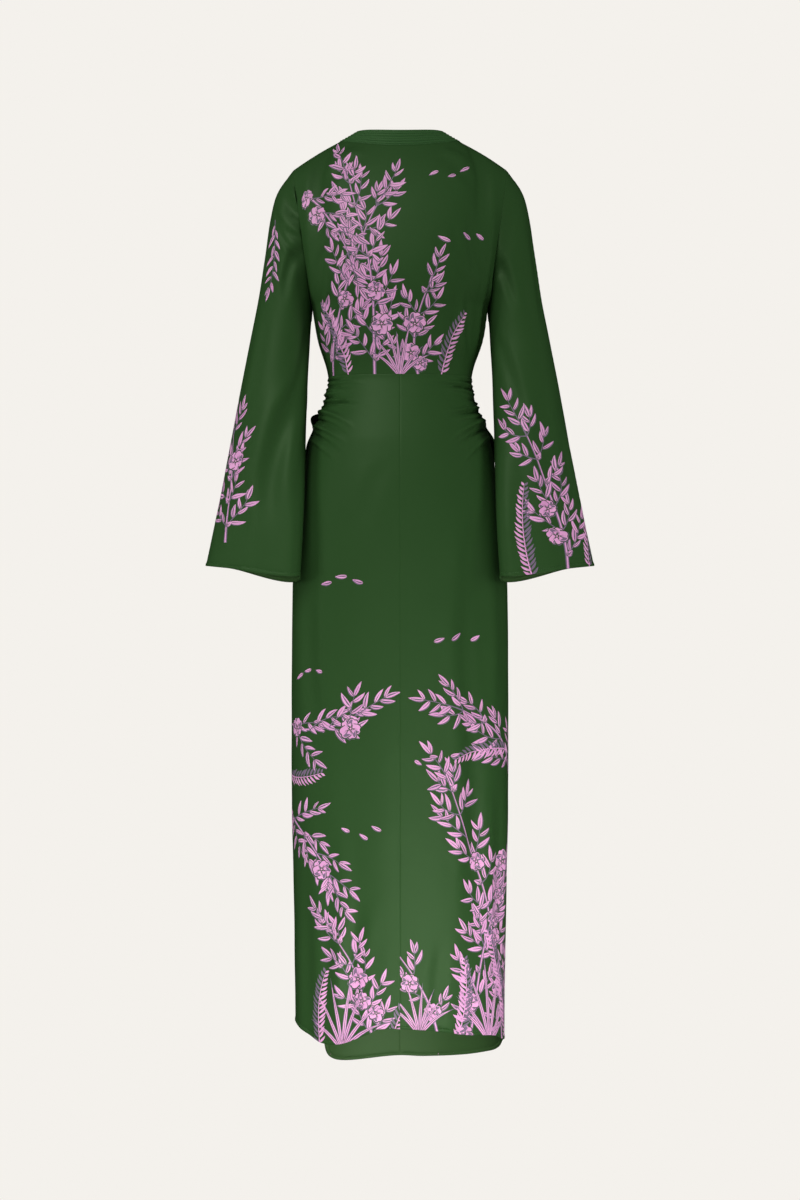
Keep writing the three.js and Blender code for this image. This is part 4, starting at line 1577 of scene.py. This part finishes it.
panels = [bodice_back()]
panels += [bodice_front("bodice_front_" + word, side) for word, side in SIDES.items()]
panels += [sleeve("sleeve_" + word, side) for word, side in SIDES.items()]
panels += [skirt("skirt_back_" + word, side, 1) for word, side in SIDES.items()]
panels += [skirt("skirt_front_" + word, side, -1) for word, side in SIDES.items()]
bands = [Band("neckband_" + word, side) for word, side in SIDES.items()]
note_seams(panels + bands)
for panel in panels:
    bare, _ = panel.bare(panel.flat)
    declare(panel.build(), panel.name)
    dress_stitches(hem_stitches(panel))
for band in bands:
    declare(band.build(), band.name)
    dress_stitches(band_stitches(band))


# ---------- the studio ----------
FLOOR_Z = -1.80
FLOOR_HALF = 30
FLOOR_STRENGTH = 0.25
WORLD_STRENGTH = 0.29
PALE = linear(244, 241, 236)


def seen_and_lit(tree, seen, lit, output, colour, strength):
    """Looks pale to the camera, and lights the dress with another colour and strength."""
    seen.inputs[0].default_value = PALE
    lit.inputs[0].default_value = colour
    lit.inputs[1].default_value = strength
    path = tree.nodes.new("ShaderNodeLightPath")
    mix = tree.nodes.new("ShaderNodeMixShader")
    tree.links.new(path.outputs["Is Camera Ray"], mix.inputs[0])
    tree.links.new(lit.outputs[0], mix.inputs[1])
    tree.links.new(seen.outputs[0], mix.inputs[2])
    tree.links.new(mix.outputs[0], tree.nodes[output].inputs[0])


def make_floor():
    corners = [(x * FLOOR_HALF, y * FLOOR_HALF, FLOOR_Z) for x, y in ((-1, -1), (1, -1), (1, 1), (-1, 1))]
    mesh = bpy.data.meshes.new("floor")
    mesh.from_pydata(corners, [], [(0, 1, 2, 3)])
    floor = add_object("floor", mesh)
    floor.visible_glossy = False
    material = bpy.data.materials.new("floor")
    material.use_nodes = True
    tree = material.node_tree
    seen, lit = tree.nodes.new("ShaderNodeEmission"), tree.nodes.new("ShaderNodeEmission")
    seen_and_lit(tree, seen, lit, "Material Output", PALE, FLOOR_STRENGTH)
    mesh.materials.append(material)


LIGHTS = [  # name, place, height aimed at, size, power in watts, whether the silk mirrors it, spread in degrees
    ("key", (1.5, 3.3, 2.1), -0.4, (2.0, 2.0), 77, True, 180),
    ("low", (-0.3, 1.7, -1.62), -1.4, (1.6, 0.3), 4.7, True, 70),
    ("side_left", (3.0, 1.4, -0.3), -0.6, (1.0, 2.0), 34, False, 180),
    ("side_right", (-3.0, 1.4, -0.3), -0.6, (1.0, 2.0), 36, False, 180),
    ("front_key", (0.5, -3.8, 0.9), -0.7, (1.6, 2.2), 34, False, 180),
]


def make_light(name, place, aim_z, size, power_w, shine, spread):
    aim = (0, 0, aim_z)
    data = bpy.data.lights.new(name, "AREA")
    data.shape = "RECTANGLE"
    data.size, data.size_y = size
    data.energy = power_w
    data.spread = math.radians(spread)
    lamp = add_object(name, data)
    lamp.location = place
    lamp.visible_camera = False
    lamp.visible_glossy = shine
    lamp.rotation_euler = (Vector(aim) - Vector(place)).to_track_quat("-Z", "Y").to_euler()


def make_world():
    world = bpy.data.worlds.new("studio")
    world.use_nodes = True
    tree = world.node_tree
    lit = tree.nodes.new("ShaderNodeBackground")
    seen_and_lit(tree, tree.nodes["Background"], lit, "World Output", (1, 1, 1, 1), WORLD_STRENGTH)
    world.cycles_visibility.glossy = False
    bpy.context.scene.world = world


make_floor()
make_world()
for row in LIGHTS:
    make_light(*row)
bpy.context.scene.view_settings.view_transform = "Standard"
